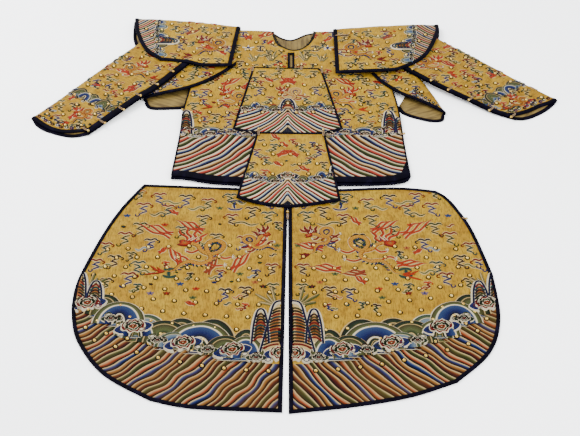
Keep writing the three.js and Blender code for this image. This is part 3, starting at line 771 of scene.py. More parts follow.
def slit_corners(margin):
    west, east = SLIT["left"] - margin, SLIT["right"] + margin
    south, north = SLIT["bottom"] - margin, SLIT["top"] + margin
    return ((west, south), (east, south), (east, north), (west, north), (west, south))


def guard_stretches(side):
    guard = GUARDS[side]
    bend, length = GUARD["bend"], guard["fold"]["length"]
    stretches = (
        half(1, bend, guard["inner"]),
        half(1, bend, guard["bottom"]),
        half(1, bend, guard["outer"]),
        over_fold(0, 1, bend),
        half(-1, bend, backwards(guard["back_outer"])),
        half(-1, bend, backwards(guard.get("back_bottom", guard["bottom"]))),
        half(-1, bend, backwards(guard.get("back_inner", guard["inner"]))),
        over_fold(length, -1, bend),
    )
    return [bound(GUARD["binding"], stretch) for stretch in stretches]


def leaf_stretches(side):
    leaf = LEAVES[side]
    bend, width = LEAF["bend"], LEAF["binding"]
    return [
        half(1, bend, leaf["top"]),
        bound(width, half(1, bend, leaf["lower"])),
        bound(width, over_fold(0, 1, bend)),
        bound(width, half(-1, bend, leaf["back_lower"])),
        half(-1, bend, leaf["back_top"]),
        over_fold(leaf["fold"]["length"], -1, bend),
    ]


def sleeve_stretches(side):
    sleeve = SLEEVES[side]
    bend, cuff, seam = SLEEVE["bend"], SLEEVE["cuff"], sleeve["seam_binding"]
    end = (sleeve["fold"]["length"], 0)
    return [
        bound(seam, half(1, bend, backwards(sleeve["seam"]))),
        bound(cuff, half(1, bend, backwards(sleeve["cuff"]))),
        bound(cuff, over_fold(0, 1, bend)),
        bound(cuff, half(-1, bend, sleeve["back_cuff"])),
        bound(seam, half(-1, bend, sleeve["back_seam"])),
        half(-1, bend, straight(sleeve["root"], end)),
        over_fold(sleeve["fold"]["length"], -1, bend),
        half(1, bend, straight(end, sleeve["root"])),
    ]


# Creases: start, end, height and half width of each soft trough or ridge
CREASES = {
    "skirt_left": (
        ((-250, -20), (-310, -300), 1.6, 26), ((-150, -10), (-120, -260), -1.4, 30),
        ((-400, -120), (-470, -380), 1.4, 28), ((-90, -300), (-140, -620), 1.2, 34),
        ((-330, -420), (-260, -760), -1.3, 30), ((-500, -440), (-420, -700), 1.3, 26),
        ((-210, -200), (-420, -230), 1.2, 24),
    ),
    "skirt_right": (
        ((90, -20), (60, -290), -1.5, 30), ((210, -10), (270, -320), 1.7, 26),
        ((330, -60), (430, -330), -1.3, 28), ((60, -360), (120, -700), 1.4, 32),
        ((250, -430), (200, -760), -1.2, 28), ((440, -380), (390, -660), 1.4, 26),
        ((130, -160), (330, -210), 1.1, 22),
    ),
    "jacket_front": (
        ((-330, 420), (-230, 300), 1.4, 20), ((-310, 190), (-220, 60), -1.2, 24),
        ((-240, 560), (-190, 380), 1.5, 18), ((280, 420), (190, 300), 1.4, 20),
        ((250, 200), (290, 70), 1.2, 22), ((-250, 250), (-340, 130), 1.1, 18),
    ),
    "front_flap": (((-110, 520), (-150, 320), 1.3, 18), ((60, 520), (70, 300), 1.2, 18)),
    "lower_flap": (((-90, 210), (-120, 20), 1.2, 18), ((40, 200), (60, -20), 1.3, 18)),
    "shoulder_guard_left": (
        ((60, 40), (120, 190), 1.5, 16), ((180, 30), (200, 210), -1.3, 20),
        ((300, 30), (330, 200), 1.3, 18),
    ),
    "shoulder_guard_right": (
        ((70, 40), (140, 200), 1.5, 18), ((200, 40), (190, 230), -1.2, 20),
        ((310, 40), (300, 220), 1.3, 18),
    ),
    "sleeve_left": (
        ((90, 60), (170, 190), 1.4, 14), ((220, 30), (290, 170), -1.5, 16),
        ((330, 60), (400, 190), 1.6, 16), ((440, 40), (500, 170), -1.3, 16), ((60, 20), (150, 40), 1.0, 12),
    ),
    "sleeve_right": (
        ((80, 50), (150, 160), 1.4, 14), ((200, 30), (260, 170), -1.4, 16),
        ((310, 60), (380, 190), 1.5, 16), ((420, 40), (480, 170), -1.2, 16), ((60, 24), (160, 36), 1.0, 12),
    ),
    "underarm_guard_left": (((120, 40), (220, 150), 1.2, 14),),
    "underarm_guard_right": (((120, 30), (220, 110), 1.2, 14),),
}


def make_panels():
    panels = {}

    def add(node, stretches, bindings, **more):
        panels[node] = Panel(node, stretches, bindings, creases=CREASES.get(node, ()), **more)

    for side in ("left", "right"):
        edged = [bound(SKIRT_BINDING, stretch) for stretch in SKIRTS[side]]
        add(f"skirt_{side}", edged, [f"skirt_{side}_binding"])
        name = f"shoulder_guard_{side}"
        add(name, guard_stretches(side), [f"{name}_binding"], fold=GUARDS[side]["fold"])
        name = f"underarm_guard_{side}"
        add(name, leaf_stretches(side), [f"{name}_binding"], fold=LEAVES[side]["fold"])
        name = f"sleeve_{side}"
        add(name, sleeve_stretches(side), [f"{name}_binding"], fold=SLEEVES[side]["fold"])
    add("jacket_back", JACKET_BACK, ["jacket_back_binding", "neck_binding"], face_down=True)
    slit = sample(straight(*slit_corners(GAP)), 12)[:-1]
    add("jacket_front", JACKET_FRONT, ["jacket_front_binding", "slit_binding"], holes=[slit])
    add("front_flap", FRONT_FLAP, ["front_flap_binding"])
    add("lower_flap", LOWER_FLAP, ["lower_flap_binding"])
    return panels


panels = make_panels()


# Materials
def new_material(name):
    material = bpy.data.materials.new(name)
    material.use_nodes = True
    tree = material.node_tree
    shader = tree.nodes["Principled BSDF"]
    return material, tree, shader


def put(tree, value, socket):
    """A link from another node, or a constant."""
    if isinstance(value, bpy.types.NodeSocket):
        tree.links.new(value, socket)
    else:
        socket.default_value = value


def add_node(tree, kind, **inputs):
    node = tree.nodes.new(kind)
    for name, value in inputs.items():
        put(tree, value, node.inputs[name])
    return node


def arithmetic(tree, operation, *values):
    node = tree.nodes.new("ShaderNodeMath")
    node.operation = operation
    for socket, value in zip(node.inputs, values):
        put(tree, value, socket)
    return node.outputs[0]


def blended(tree, factor, a, b, mode="MIX"):
    node = tree.nodes.new("ShaderNodeMix")
    node.data_type = "RGBA"
    node.blend_type = mode
    put(tree, factor, node.inputs["Factor"])
    for name, value in (("A", a), ("B", b)):
        put(tree, value, next(s for s in node.inputs if s.name == name and s.type == "RGBA"))
    return next(s for s in node.outputs if s.type == "RGBA")


def ramp(tree, value, stops):
    node = tree.nodes.new("ShaderNodeValToRGB")
    elements = node.color_ramp.elements
    while len(elements) < len(stops):
        elements.new(1.0)
    for element, (place, colour) in zip(elements, stops):
        element.position = place
        element.color = colour
    tree.links.new(value, node.inputs[0])
    return node.outputs[0]


def mask(tree, value, start, end, top):
    """A factor that rises from nothing at the start to its top at the end."""
    return ramp(tree, value, ((start, (0, 0, 0, 1)), (end, (top, top, top, 1))))


def cut_noise(tree, scale, stretch=(1, 1, 1), detail=2.0, seed=0.0):
    place = tree.nodes.new("ShaderNodeUVMap")
    place.uv_map = "cut"
    shift = (seed, seed * 0.7, 0)
    mapping = add_node(tree, "ShaderNodeMapping", Vector=place.outputs[0], Scale=stretch, Location=shift)
    noise = add_node(tree, "ShaderNodeTexNoise", Vector=mapping.outputs[0], Scale=scale, Detail=detail)
    return noise.outputs["Fac"]


def object_texture(tree, kind, **values):
    place = tree.nodes.new("ShaderNodeTexCoord").outputs["Object"]
    return add_node(tree, kind, Vector=place, **values).outputs["Fac"]


def field(tree, name, output="Fac"):
    node = tree.nodes.new("ShaderNodeAttribute")
    node.attribute_name = name
    return node.outputs[output]


def bump(tree, shader, height, distance, strength=1.0):
    node = add_node(tree, "ShaderNodeBump", Height=height, Distance=distance, Strength=strength)
    tree.links.new(node.outputs[0], shader.inputs["Normal"])


def paint(tree, shader, tone, roughness, specular=0.5):
    tree.links.new(tone, shader.inputs["Base Color"])
    put(tree, roughness, shader.inputs["Roughness"])
    shader.inputs["Specular IOR Level"].default_value = specular


STITCH_WIDTH = 1.3
GROUND_TONES = {
    "fresh": silk_colour(238, 202, 82),
    "light": silk_colour(212, 180, 72),
    "deep": silk_colour(194, 156, 58),
    "worn": silk_colour(158, 118, 52),
    "streak": silk_colour(116, 94, 46),
}
# Tones across each row after its pale edge
STRIPE_BANDS = (
    ("sky", "blue", "navy"), ("ochre", "tan", "maroon"), ("tan", "brown", "maroon"),
    ("sage", "olive", "green"), ("salmon", "coral", "maroon"),
)
PALE_BANDS = (
    ("pale_blue", "blue", "navy"), ("cream", "tan", "maroon"), ("rose", "rose", "red"),
    ("sage", "green", "green"), ("white", "rose", "maroon"),
)
# How pale the rows are on each panel
PALE = {
    "skirt_left": 0.12, "skirt_right": 0.12, "jacket_front": 0.75, "front_flap": 1.0, "lower_flap": 1.0,
    "shoulder_guard_left": 0.8, "shoulder_guard_right": 0.55,
}


def stripe_stops(edge, bands, places):
    share = 1 / len(bands)
    stops = []
    for i, tones in enumerate(bands):
        line = "maroon" if i % 2 else "ink"
        for place, tone in zip((*places, 0.88, 0.99), (edge, *tones, line, line)):
            stops.append(((i + place) * share, SILK[tone]))
    return stops


def gold_ground():
    """Imperial yellow satin; where a panel says so, rows of couched stripes take its place."""
    material, tree, shader = new_material("gold_silk")
    broad = cut_noise(tree, 7.0, detail=3.0)
    fine = cut_noise(tree, 42.0, detail=4.0, seed=3.1)
    specks = cut_noise(tree, 150.0, (1.6, 0.5, 1), seed=9.3)
    warps = cut_noise(tree, 60.0, (6.0, 0.5, 1), seed=5.7)
    wefts = cut_noise(tree, 900.0, (0.25, 1.0, 1), detail=1.0, seed=1.9)
    pale = field(tree, "pale")
    ground = ramp(tree, broad, ((0.3, GROUND_TONES["deep"]), (0.7, GROUND_TONES["light"])))
    for factor, tone in (
        (mask(tree, fine, 0.46, 0.68, 0.6), "worn"), (mask(tree, specks, 0.5, 0.7, 0.6), "streak"),
        (mask(tree, warps, 0.5, 0.7, 0.55), "streak"), (arithmetic(tree, "MULTIPLY", pale, 0.12), "fresh"),
    ):
        ground = blended(tree, factor, ground, GROUND_TONES[tone])
    wobble = arithmetic(tree, "MULTIPLY", arithmetic(tree, "SUBTRACT", fine, 0.5), 0.03)
    turn = arithmetic(tree, "FRACT", arithmetic(tree, "ADD", field(tree, "stripe"), wobble))
    deep_rows = ramp(tree, turn, stripe_stops("cream", STRIPE_BANDS, (0.06, 0.26, 0.5, 0.76)))
    pale_rows = ramp(tree, turn, stripe_stops("white", PALE_BANDS, (0.06, 0.34, 0.5, 0.76)))
    wear = mask(tree, broad, 0.4, 0.7, 0.3)
    wear = arithmetic(tree, "MULTIPLY", wear, arithmetic(tree, "SUBTRACT", 1.0, pale))
    aged = blended(tree, wear, blended(tree, pale, deep_rows, pale_rows), SILK["tan"])
    striped = arithmetic(tree, "GREATER_THAN", field(tree, "zone"), 0.0)
    band = arithmetic(tree, "FRACT", arithmetic(tree, "MULTIPLY", turn, len(STRIPE_BANDS)))
    crown = arithmetic(tree, "MULTIPLY", band, arithmetic(tree, "SUBTRACT", 1.0, band))
    crown = arithmetic(tree, "MULTIPLY", arithmetic(tree, "MULTIPLY", crown, 4.0), striped)
    threads = arithmetic(tree, "MULTIPLY", arithmetic(tree, "ADD", wefts, warps), 0.35)
    bump(tree, shader, arithmetic(tree, "ADD", crown, threads), 0.0011)
    rough = arithmetic(tree, "MULTIPLY_ADD", fine, 0.25, 0.42)
    paint(tree, shader, blended(tree, striped, ground, aged), rough, 0.03)
    return material


def lining_silk():
    material, tree, shader = new_material("lining_silk")
    broad = cut_noise(tree, 12.0, detail=3.0, seed=2.0)
    streak = cut_noise(tree, 26.0, (4.0, 0.5, 1), seed=7.0)
    tone = ramp(tree, broad, ((0.3, silk_colour(138, 116, 64)), (0.7, silk_colour(180, 158, 98))))
    tone = blended(tree, mask(tree, streak, 0.45, 0.62, 0.55), tone, silk_colour(84, 62, 36))
    bump(tree, shader, streak, 0.0008)
    paint(tree, shader, tone, 0.62, 0.12)
    return material


def dark_satin():
    material, tree, shader = new_material("dark_satin")
    broad = cut_noise(tree, 30.0, detail=3.0, seed=4.0)
    tone = ramp(tree, broad, (
        (0.35, (0.0004, 0.0002, 0.0012, 1)), (0.55, (0.0008, 0.0005, 0.0026, 1)),
        (0.78, (0.003, 0.002, 0.009, 1)),
    ))
    rib = cut_noise(tree, 160.0, (0.6, 3.0, 1), seed=8.0)
    bump(tree, shader, arithmetic(tree, "ADD", broad, arithmetic(tree, "MULTIPLY", rib, 0.4)), 0.0012)
    paint(tree, shader, tone, 0.6, 0.014)
    return material


def embroidery_silk():
    material, tree, shader = new_material("embroidery_silk")
    turns = 2 * math.pi / STITCH_WIDTH
    stitch = arithmetic(tree, "SINE", arithmetic(tree, "MULTIPLY", field(tree, "run"), turns))
    # Painted shade: a darker line in the groove between each pair of stitches, across every stroke
    groove_shade = ramp(tree, arithmetic(tree, "MULTIPLY_ADD", stitch, 0.5, 0.5), (
        (0.1, (0.8, 0.8, 0.8, 1)), (0.7, (1, 1, 1, 1)),
    ))
    bump(tree, shader, stitch, 0.0002, 0.6)
    paint(tree, shader, blended(tree, 0.8, field(tree, "tint", "Color"), groove_shade, "MULTIPLY"), 0.42, 0.04)
    return material


def gilt():
    material, tree, shader = new_material("gilt_brass")
    tone = ramp(tree, object_texture(tree, "ShaderNodeTexNoise", Scale=160.0, Detail=3.0), (
        (0.3, silk_colour(200, 150, 60)), (0.5, silk_colour(240, 206, 110)),
        (0.72, silk_colour(252, 236, 170)),
    ))
    shader.inputs["Metallic"].default_value = 0.85
    paint(tree, shader, tone, 0.26)
    return material


def tan_cord():
    material, tree, shader = new_material("tan_cord")
    wave = object_texture(tree, "ShaderNodeTexWave", Scale=260.0, Distortion=3.0)
    bump(tree, shader, wave, 0.0005)
    tone = ramp(tree, wave, ((0.2, silk_colour(150, 116, 70)), (0.8, silk_colour(206, 172, 118))))
    paint(tree, shader, tone, 0.55)
    return material


def floor_paint():
    material, tree, shader = new_material("pale_floor")
    noise = object_texture(tree, "ShaderNodeTexNoise", Scale=3.0)
    paint(tree, shader, ramp(tree, noise, (
        (0.3, (0.94, 0.94, 0.94, 1)), (0.7, (0.96, 0.96, 0.96, 1)),
    )), 0.9)
    return material


GOLD = gold_ground()
LINING = lining_silk()
SATIN = dark_satin()
THREADS = embroidery_silk()
GILT = gilt()
CORD = tan_cord()


# Where the couched stripes lie on each panel: heights of their upper edge by distance from the middle
SKIRT_STRIPE_TOP = (
    (14, 45, 85, 125, 158, 199, 244, 289, 330, 366, 414, 444, 478, 520, 553, 590),
    (-664, -664, -651, -640, -636, -625, -618, -612, -601, -581, -550, -536, -515, -480, -462, -470),
)
JACKET_STRIPE_TOP = (
    (100, 118, 150, 188, 228, 265, 299, 336, 362), (224, 229, 239, 244, 239, 229, 220, 232, 240),
)
FRONT_STRIPE_TOP = ((0, 20, 41, 68, 96, 125, 153, 182), (372, 350, 338, 344, 356, 350, 338, 352))
LOWER_STRIPE_TOP = ((0, 16, 38, 58, 77, 100, 123, 160), (43, 26, 8, 8, 17, 26, 34, 44))
# On the guards, distances from the outer end by distance from the ridge
GUARD_STRIPE_EDGE = ((0, 40, 90, 150, 210, 270), (84, 84, 92, 108, 118, 124))


def edge_at(table, place):
    return float(np.interp(place, *table))


def from_middle(cut):
    return np.abs(cut[:, 0] - MIDDLE)


def ripple(cut, size):
    x, y = cut.T
    return size * np.sin(x / 17 + 0.9 * np.sin(y / 29)) + 0.5 * size * np.sin(y / 11 + x / 31)


def stripe_round(centre, pitch, shift, size):
    """Rows on circles round one centre, by distance from the middle."""
    def stripe(cut):
        away = np.hypot(from_middle(cut) - centre[0], cut[:, 1] - centre[1])
        return (away + ripple(cut, size)) / pitch - shift

    return stripe


def stripe_peak(top):
    """Rows that fall from a peak on the middle line, steep there and flatter outwards."""
    def stripe(cut):
        p = from_middle(cut)
        fall = 87 * (1 - np.exp(-p / 60)) + 0.36 * p
        return (top - cut[:, 1] - fall + ripple(cut, 1.6)) / 78 + 0.14

    return stripe


def zone_below(top):
    return lambda cut: np.interp(from_middle(cut), *top) - cut[:, 1]


def guard_stripe(cut):
    return (np.hypot(cut[:, 0] + 92, cut[:, 1] + 67) + ripple(cut, 1.4)) / 52


def guard_zone(cut):
    return np.interp(cut[:, 1], *GUARD_STRIPE_EDGE) - cut[:, 0]


def everywhere(value):
    return lambda cut: np.full(len(cut), value)


NO_STRIPES = (everywhere(0.0), everywhere(-1.0))
SKIRT_STRIPES = (stripe_round((832, -140), 77.0, 0.37, 3.2), zone_below(SKIRT_STRIPE_TOP))
STRIPES = {
    "skirt_left": SKIRT_STRIPES,
    "skirt_right": SKIRT_STRIPES,
    "jacket_front": (stripe_round((486, 448), 84.0, 0.92, 2.0), zone_below(JACKET_STRIPE_TOP)),
    "front_flap": (stripe_peak(441), zone_below(FRONT_STRIPE_TOP)),
    "lower_flap": (stripe_peak(116), zone_below(LOWER_STRIPE_TOP)),
    "shoulder_guard_left": (guard_stripe, guard_zone),
    "shoulder_guard_right": (guard_stripe, guard_zone),
}


def declared(piece, node=None):
    """The piece as a part of the one rigid body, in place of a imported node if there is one."""
    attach(piece, "root")
    if node:
        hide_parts(node)
    return piece


# Embroidery: ribbons and webs of silk, a little above the cloth
def motif_frame(origin, angle=0.0, size=1.0, flip=1):
    """Turns points of a motif into points of the cut."""
    turn = np.array([[math.cos(angle), -math.sin(angle)], [math.sin(angle), math.cos(angle)]])

    def to_cut(points):
        turned = (np.asarray(size, float) * np.atleast_2d(np.asarray(points, float))) @ turn.T
        return np.array(origin, float) + turned * (flip, 1)

    return to_cut


def arc(centre, radius, start, end, count=12, squash=1.0):
    turns = np.radians(np.linspace(start, end, count))
    return np.column_stack([
        centre[0] + radius * np.cos(turns),
        centre[1] + radius * squash * np.sin(turns),
    ])


class Needlework:
    """All the embroidery of one panel, gathered into one mesh."""

    def __init__(self, panel):
        self.panel = panel
        self.cut, self.rise, self.tint, self.run, self.faces = [], [], [], [], []
        self.count = 0
        self.level = 0.0
        self.on = 0.0

    def keep(self, cut, rise, tint, run, faces):
        self.cut.append(cut)
        self.rise.append(rise + self.on + np.where(rise > 0, self.level, 0))
        self.tint.append(tint)
        self.run.append(run)
        self.faces += [tuple(self.count + i for i in face) for face in faces]
        self.count += len(cut)

    def web(self, lines, tones, rises, closed=False):
        """Fills the space between lines of as many points each."""
        lines = [np.asarray(line, float) for line in lines]
        rows, count = len(lines), len(lines[0])
        middle = lines[rows // 2]
        run = np.concatenate([[0], np.cumsum(np.hypot(*np.diff(middle, axis=0).T))])
        tint = np.repeat([SILK[tone] for tone in tones], count, axis=0)
        rise = np.repeat(np.asarray(rises, float), count)
        faces = grid_faces(rows, count, wrap=closed)
        self.keep(np.concatenate(lines), rise, tint, np.tile(run, rows), faces)

    def ribbon(self, frame, points, width, tones, rise=0.9, taper=(0.3, 0.3), step=5.0, closed=False):
        """A stroke of satin stitch; tones run across it and its ends draw in by the tapers."""
        tones = (tones,) if isinstance(tones, str) else tones
        line = frame(points)
        if closed:
            line = np.concatenate([line, line[:1]])
        line = spaced(spline(line, 8), step) if len(line) > 2 else spaced(line, step)
        if closed:
            line = line[:-1]
            ahead = np.roll(line, -1, axis=0) - np.roll(line, 1, axis=0)
        else:
            ahead = np.gradient(line, axis=0)
        ahead /= np.maximum(np.hypot(*ahead.T), 1e-6)[:, None]
        side = np.column_stack([-ahead[:, 1], ahead[:, 0]])
        t = np.linspace(0, 1, len(line))
        share = np.ones(len(line))
        if not closed:
            share = np.minimum(1, taper[0] + t * 4) * np.minimum(1, taper[1] + (1 - t) * 4)
        columns = max(5, len(tones))
        across = np.linspace(-0.5, 0.5, columns)
        lines = [line + (a * width * share)[:, None] * side for a in across]
        picked = [tones[min(int(k * len(tones) / columns), len(tones) - 1)] for k in range(columns)]
        rises = [0.4 + rise * (1 - (2 * abs(a)) ** 3) - 0.5 * (2 * abs(a)) ** 3 for a in across]
        self.web(lines, picked, rises, closed)

    def outlined(self, frame, points, width, tone, edge="cream", **more):
        self.ribbon(frame, points, width + 3.4, edge, rise=0.45, **more)
        self.ribbon(frame, points, width, tone, rise=1.05, **more)

    def patch(self, frame, points, tones, rise=0.9, step=5.0, smooth=True):
        """A filled shape round its middle, from the tone at its edge to the one at its middle."""
        line = frame(points)
        line = np.concatenate([line, line[:1]])
        line = spline(line, 8) if smooth else line
        around = np.sum(np.hypot(*np.diff(line, axis=0).T))
        line = spaced(line, count=max(8, math.ceil(around / step)))[:-1]
        middle = line.mean(axis=0)
        rings = [middle + share * (line - middle) for share in (1.0, 0.8, 0.45, 0.05)]
        outer, inner = tones[0], tones[-1]
        between = tones[len(tones) // 2]
        self.web(rings, (outer, outer, between, inner), (-0.3, 0.7 * rise, rise, rise), closed=True)
        count = len(line)
        last = self.count - count
        self.faces.append(tuple(last + i for i in range(count)))

    def on_cloth(self, points):
        outline = self.panel.outline
        loop = outline.inset(np.maximum(outline.widths - 1.5, 0))
        parts = np.array_split(points, len(points) // POINTS_AT_ONCE + 1)
        inside = np.concatenate([is_inside(part, loop) for part in parts])
        for hole in self.panel.holes:
            inside &= ~is_inside(points, hole)
        return inside

    def piece(self, name):
        cut = np.concatenate(self.cut)
        vertices = self.panel.lift(cut, np.concatenate(self.rise))
        inside = self.on_cloth(cut)
        faces = []
        for face in self.faces:
            if not inside[face[0]] or not inside[face[2]]:
                continue
            a, b, c = (vertices[face[k]] for k in (0, 1, 2))
            up = (b[0] - a[0]) * (c[1] - a[1]) - (b[1] - a[1]) * (c[0] - a[0])
            faces.append(face if up >= 0 else face[::-1])
        used = sorted({i for face in faces for i in face})
        fresh = {old: new for new, old in enumerate(used)}
        faces = [tuple(fresh[i] for i in face) for face in faces]
        result = link(
            name, vertices[used], faces, [THREADS], colours=np.concatenate(self.tint)[used],
            fields={"run": np.concatenate(self.run)[used]}, cut=cut[used],
        )
        return declared(result)


# Traditional motifs
def cloud(needle, frame, cap="maroon", chain="blue", tail="sage", reach=48):
    """A small ruyi cloud: a cap, a curling stem and a trailing wisp."""
    if reach:
        wisp = ((5, -24), (0.4 * reach, -20), (0.7 * reach, -29), (reach, -23))
        needle.ribbon(frame, wisp, 11.0, "cream", rise=0.4, taper=(0.6, 0.2))
        needle.ribbon(frame, wisp, 6.8, tail, rise=1.0, taper=(0.7, 0.2))
    for start, end in (((-10, -4), (5, -10)), ((9, -11), (-8, -18)), ((-9, -20), (6, -27))):
        middle = ((start[0] + end[0]) / 2, (start[1] + end[1]) / 2 + 1.5)
        needle.outlined(frame, (start, middle, end), 7.6, chain, step=4)
    needle.ribbon(frame, arc((11, -29), 4.2, 120, 400, 8), 4.4, chain, rise=1.1, step=3)
    needle.outlined(frame, ((-16, -1), (-8, 5), (1, 1), (9, 5), (16, 0)), 8.6, cap)
    needle.ribbon(frame, arc((-16, -4), 3.6, 40, 300, 8), 4.2, cap, rise=1.1, step=3)


def double_cloud(needle, frame, tone="blue", edge="cream"):
    """Two bars joined by a waist."""
    needle.outlined(frame, ((0, 12), (3, 0), (0, -12)), 9.0, tone, edge=edge)
    for y in (13, -13):
        sign = 1 if y > 0 else -1
        bar = ((-19, y - 5 * sign), (-8, y + 2 * sign), (8, y + 2 * sign), (19, y - 5 * sign))
        needle.outlined(frame, bar, 8.0, tone, edge=edge)


def blossom(needle, frame, petal="lilac", heart="maroon"):
    for turn in range(5):
        angle = 2 * math.pi * turn / 5 + 0.3
        tip = (9 * math.cos(angle), 6 * math.sin(angle))
        path = ((0, 0), (tip[0] * 0.6, tip[1] * 0.6), tip)
        needle.ribbon(frame, path, 6.0, petal, taper=(0.6, 0.4), step=3)
    needle.patch(frame, arc((0, 0), 3.4, 0, 324, 9), (heart, heart), rise=1.5, step=3)


def flames(needle, frame, tone="flame", count=3, length=64):
    """Licks of fire from one root."""
    for k in range(count):
        shift = 7.5 * k
        reach = length * (1 - 0.16 * k)
        path = [
            (shift * 0.5 - x * reach, shift * 0.9 + x * reach * 0.72 + 3.6 * math.sin(9 * x + k))
            for x in np.linspace(0, 1, 7)
        ]
        needle.ribbon(frame, path, 12.4, "cream", rise=0.5, taper=(0.8, 0.1))
        needle.ribbon(frame, path, 9.4, (tone, tone, tone, "red", "red"), rise=1.1, taper=(0.9, 0.1))


def claw(needle, frame, points, tone):
    needle.ribbon(frame, points, 12.0, "cream", rise=0.5, taper=(0.9, 0.5))
    needle.ribbon(frame, points, 8.6, tone, rise=1.2, taper=(0.9, 0.5))
    root = np.array(points[-1], float)
    for turn in np.radians((-60, -15, 30, 75)):
        tip = root + 9 * np.array((math.cos(turn), math.sin(turn)))
        nail = (root, (root + tip) / 2 + (0, 1), tip)
        needle.ribbon(frame, nail, 2.4, "white", rise=1.4, taper=(0.9, 0.1), step=3)


def dragon(needle, frame, belly="thread", back="teal", fire="flame"):
    """A traditional dragon of gold thread with a mane of fire, about 150 mm long."""
    body = (
        (8, 0), (24, -6), (36, -22), (58, -30), (82, -18), (88, 4), (72, 16), (52, 10),
        (46, -12), (62, -44), (40, -62), (12, -58), (-8, -72), (-22, -92), (-44, -96),
    )
    needle.ribbon(frame, body, 20.0, "cream", rise=0.4, taper=(0.9, 0.1), step=6)
    tones = (back, "thread", belly, "thread", fire)
    needle.ribbon(frame, body, 16.0, tones, rise=1.7, taper=(0.9, 0.1), step=6)
    line = spaced(spline(body, 8), 8.5)
    ahead = np.gradient(line, axis=0)
    ahead /= np.hypot(*ahead.T)[:, None]
    side = np.column_stack([-ahead[:, 1], ahead[:, 0]])
    for i in range(1, len(line) - 3):
        root = line[i] + 6.0 * side[i]
        tip = line[i] + 13.0 * side[i] - 5.0 * ahead[i]
        tone = (back, "blue", "green")[i % 3]
        needle.ribbon(frame, (root, (root + tip) / 2, tip), 5.4, tone, rise=1.3, taper=(1, 0.2), step=4)
        scale = arc(line[i] - 1.5 * side[i], 3.4, 0, 300, 6)
        needle.ribbon(frame, scale, 1.8, "tan", rise=2.1, step=4)
    head = ((-2, 8), (-16, 12), (-24, 6), (-20, -2), (-28, -8), (-14, -12), (2, -10), (12, -2), (8, 8))
    needle.patch(frame, head, ("red", "flame", "gold"), rise=2.4)
    for start, end in (((-2, 8), (10, 26)), ((4, 8), (20, 22))):
        middle = ((start[0] + end[0]) / 2 + 3, (start[1] + end[1]) / 2)
        needle.ribbon(frame, (start, middle, end), 3.2, "white", rise=2.0, taper=(1, 0.2))
    needle.patch(frame, arc((-9, 3), 2.6, 0, 320, 8), ("white", "ink"), rise=2.9, step=2.4)
    for k, (dx, dy) in enumerate(((-22, 34), (-8, 42), (10, 40), (26, 30))):
        start = (-2 + 5 * k, 7 - 2 * k)
        bend = (start[0] + dx * 0.45 + 5, start[1] + dy * 0.4)
        waver = (start[0] + dx * 0.75 - 5, start[1] + dy * 0.7)
        lick = (start, bend, waver, (start[0] + 1.2 * dx, start[1] + 1.2 * dy))
        needle.ribbon(frame, lick, 12.6, "cream", rise=0.5, taper=(1, 0.1))
        needle.ribbon(frame, lick, 9.6, (fire, fire, fire, "red", "red"), rise=1.4, taper=(1, 0.1))
    for path in (
        ((30, -18), (14, -30), (-4, -24)), ((70, -24), (92, -40), (112, -34)),
        ((50, -50), (74, -66), (96, -62)), ((14, -58), (-6, -44), (-26, -50)),
    ):
        claw(needle, frame, path, (fire, "red"))
    for k in range(4):
        tail = ((-42, -95), (-52, -92 - 3 * k), (-62 - 9 * k, -84 - 9 * k * (1 if k % 2 else -0.2)))
        needle.ribbon(frame, tail, 6.8, (fire, "red"), rise=1.3, taper=(1, 0.1))


def curl(needle, frame, tone="blue", edge="white", radius=9.0):
    """A spiral of a wave's crest."""
    turns = np.linspace(0, 1.6 * 2 * math.pi, 18)
    reach = radius * (1 - 0.5 * turns / turns[-1])
    path = np.column_stack([reach * np.cos(turns), 0.8 * reach * np.sin(turns)])
    needle.patch(frame, arc((0, 0), radius + 2.0, 0, 336, 14, 0.85), (edge, edge), rise=0.8)
    needle.ribbon(frame, path, 3.2, tone, rise=1.7, step=3.2)


RUYI_EDGE = (
    (0, 15), (10, 18), (16, 12), (26, 12), (31, 4), (27, -4), (18, -5), (10, -12), (0, -9),
    (-10, -12), (-18, -5), (-27, -4), (-31, 4), (-26, 12), (-16, 12), (-10, 18),
)


def ruyi(needle, frame, tones=("red", "green", "coral"), wings="blue"):
    """A lobed cloud head in nested rings with a pointed wing on each side."""
    edge = np.array(RUYI_EDGE, float)
    for sign in (-1, 1):
        wing = np.array(((24, 9), (34, 7), (44, 0), (34, -8), (22, -10), (28, 0))) * (sign, 1)
        needle.patch(frame, wing * (1.08, 1.25) - (2.0 * sign, 0), ("white", "white"), rise=0.8)
        needle.on = 0.5
        needle.patch(frame, wing, (wings, wings, "navy"), rise=1.0)
        needle.on = 0.0
    share = 1.08
    for k, tone in enumerate(tones):
        for ring, colour in enumerate(("white", tone)):
            needle.on = 0.45 * (2 * k + ring)
            needle.patch(frame, edge * share, (colour, colour, colour), rise=0.9)
            share -= 0.08 if ring == 0 else 0.24
    needle.on = 0.45 * 2 * len(tones)
    needle.patch(frame, edge * share, ("white", "cream"), rise=0.9)
    needle.on += 0.3
    needle.ribbon(frame, ((-18, -2), (-9, 5), (0, -1), (9, 5), (18, -2)), 3.4, "ink", rise=1.0, step=3)
    for sign in (-1, 1):
        needle.ribbon(frame, arc((16 * sign, 6), 5.0, 0, 290, 9), 3.2, "ink", rise=1.0, step=3)
        gleam = ((8 * sign, 13), (16 * sign, 9), (22 * sign, 3))
        needle.ribbon(frame, gleam, 2.8, "white", rise=1.0, step=3)
    needle.on = 0.0


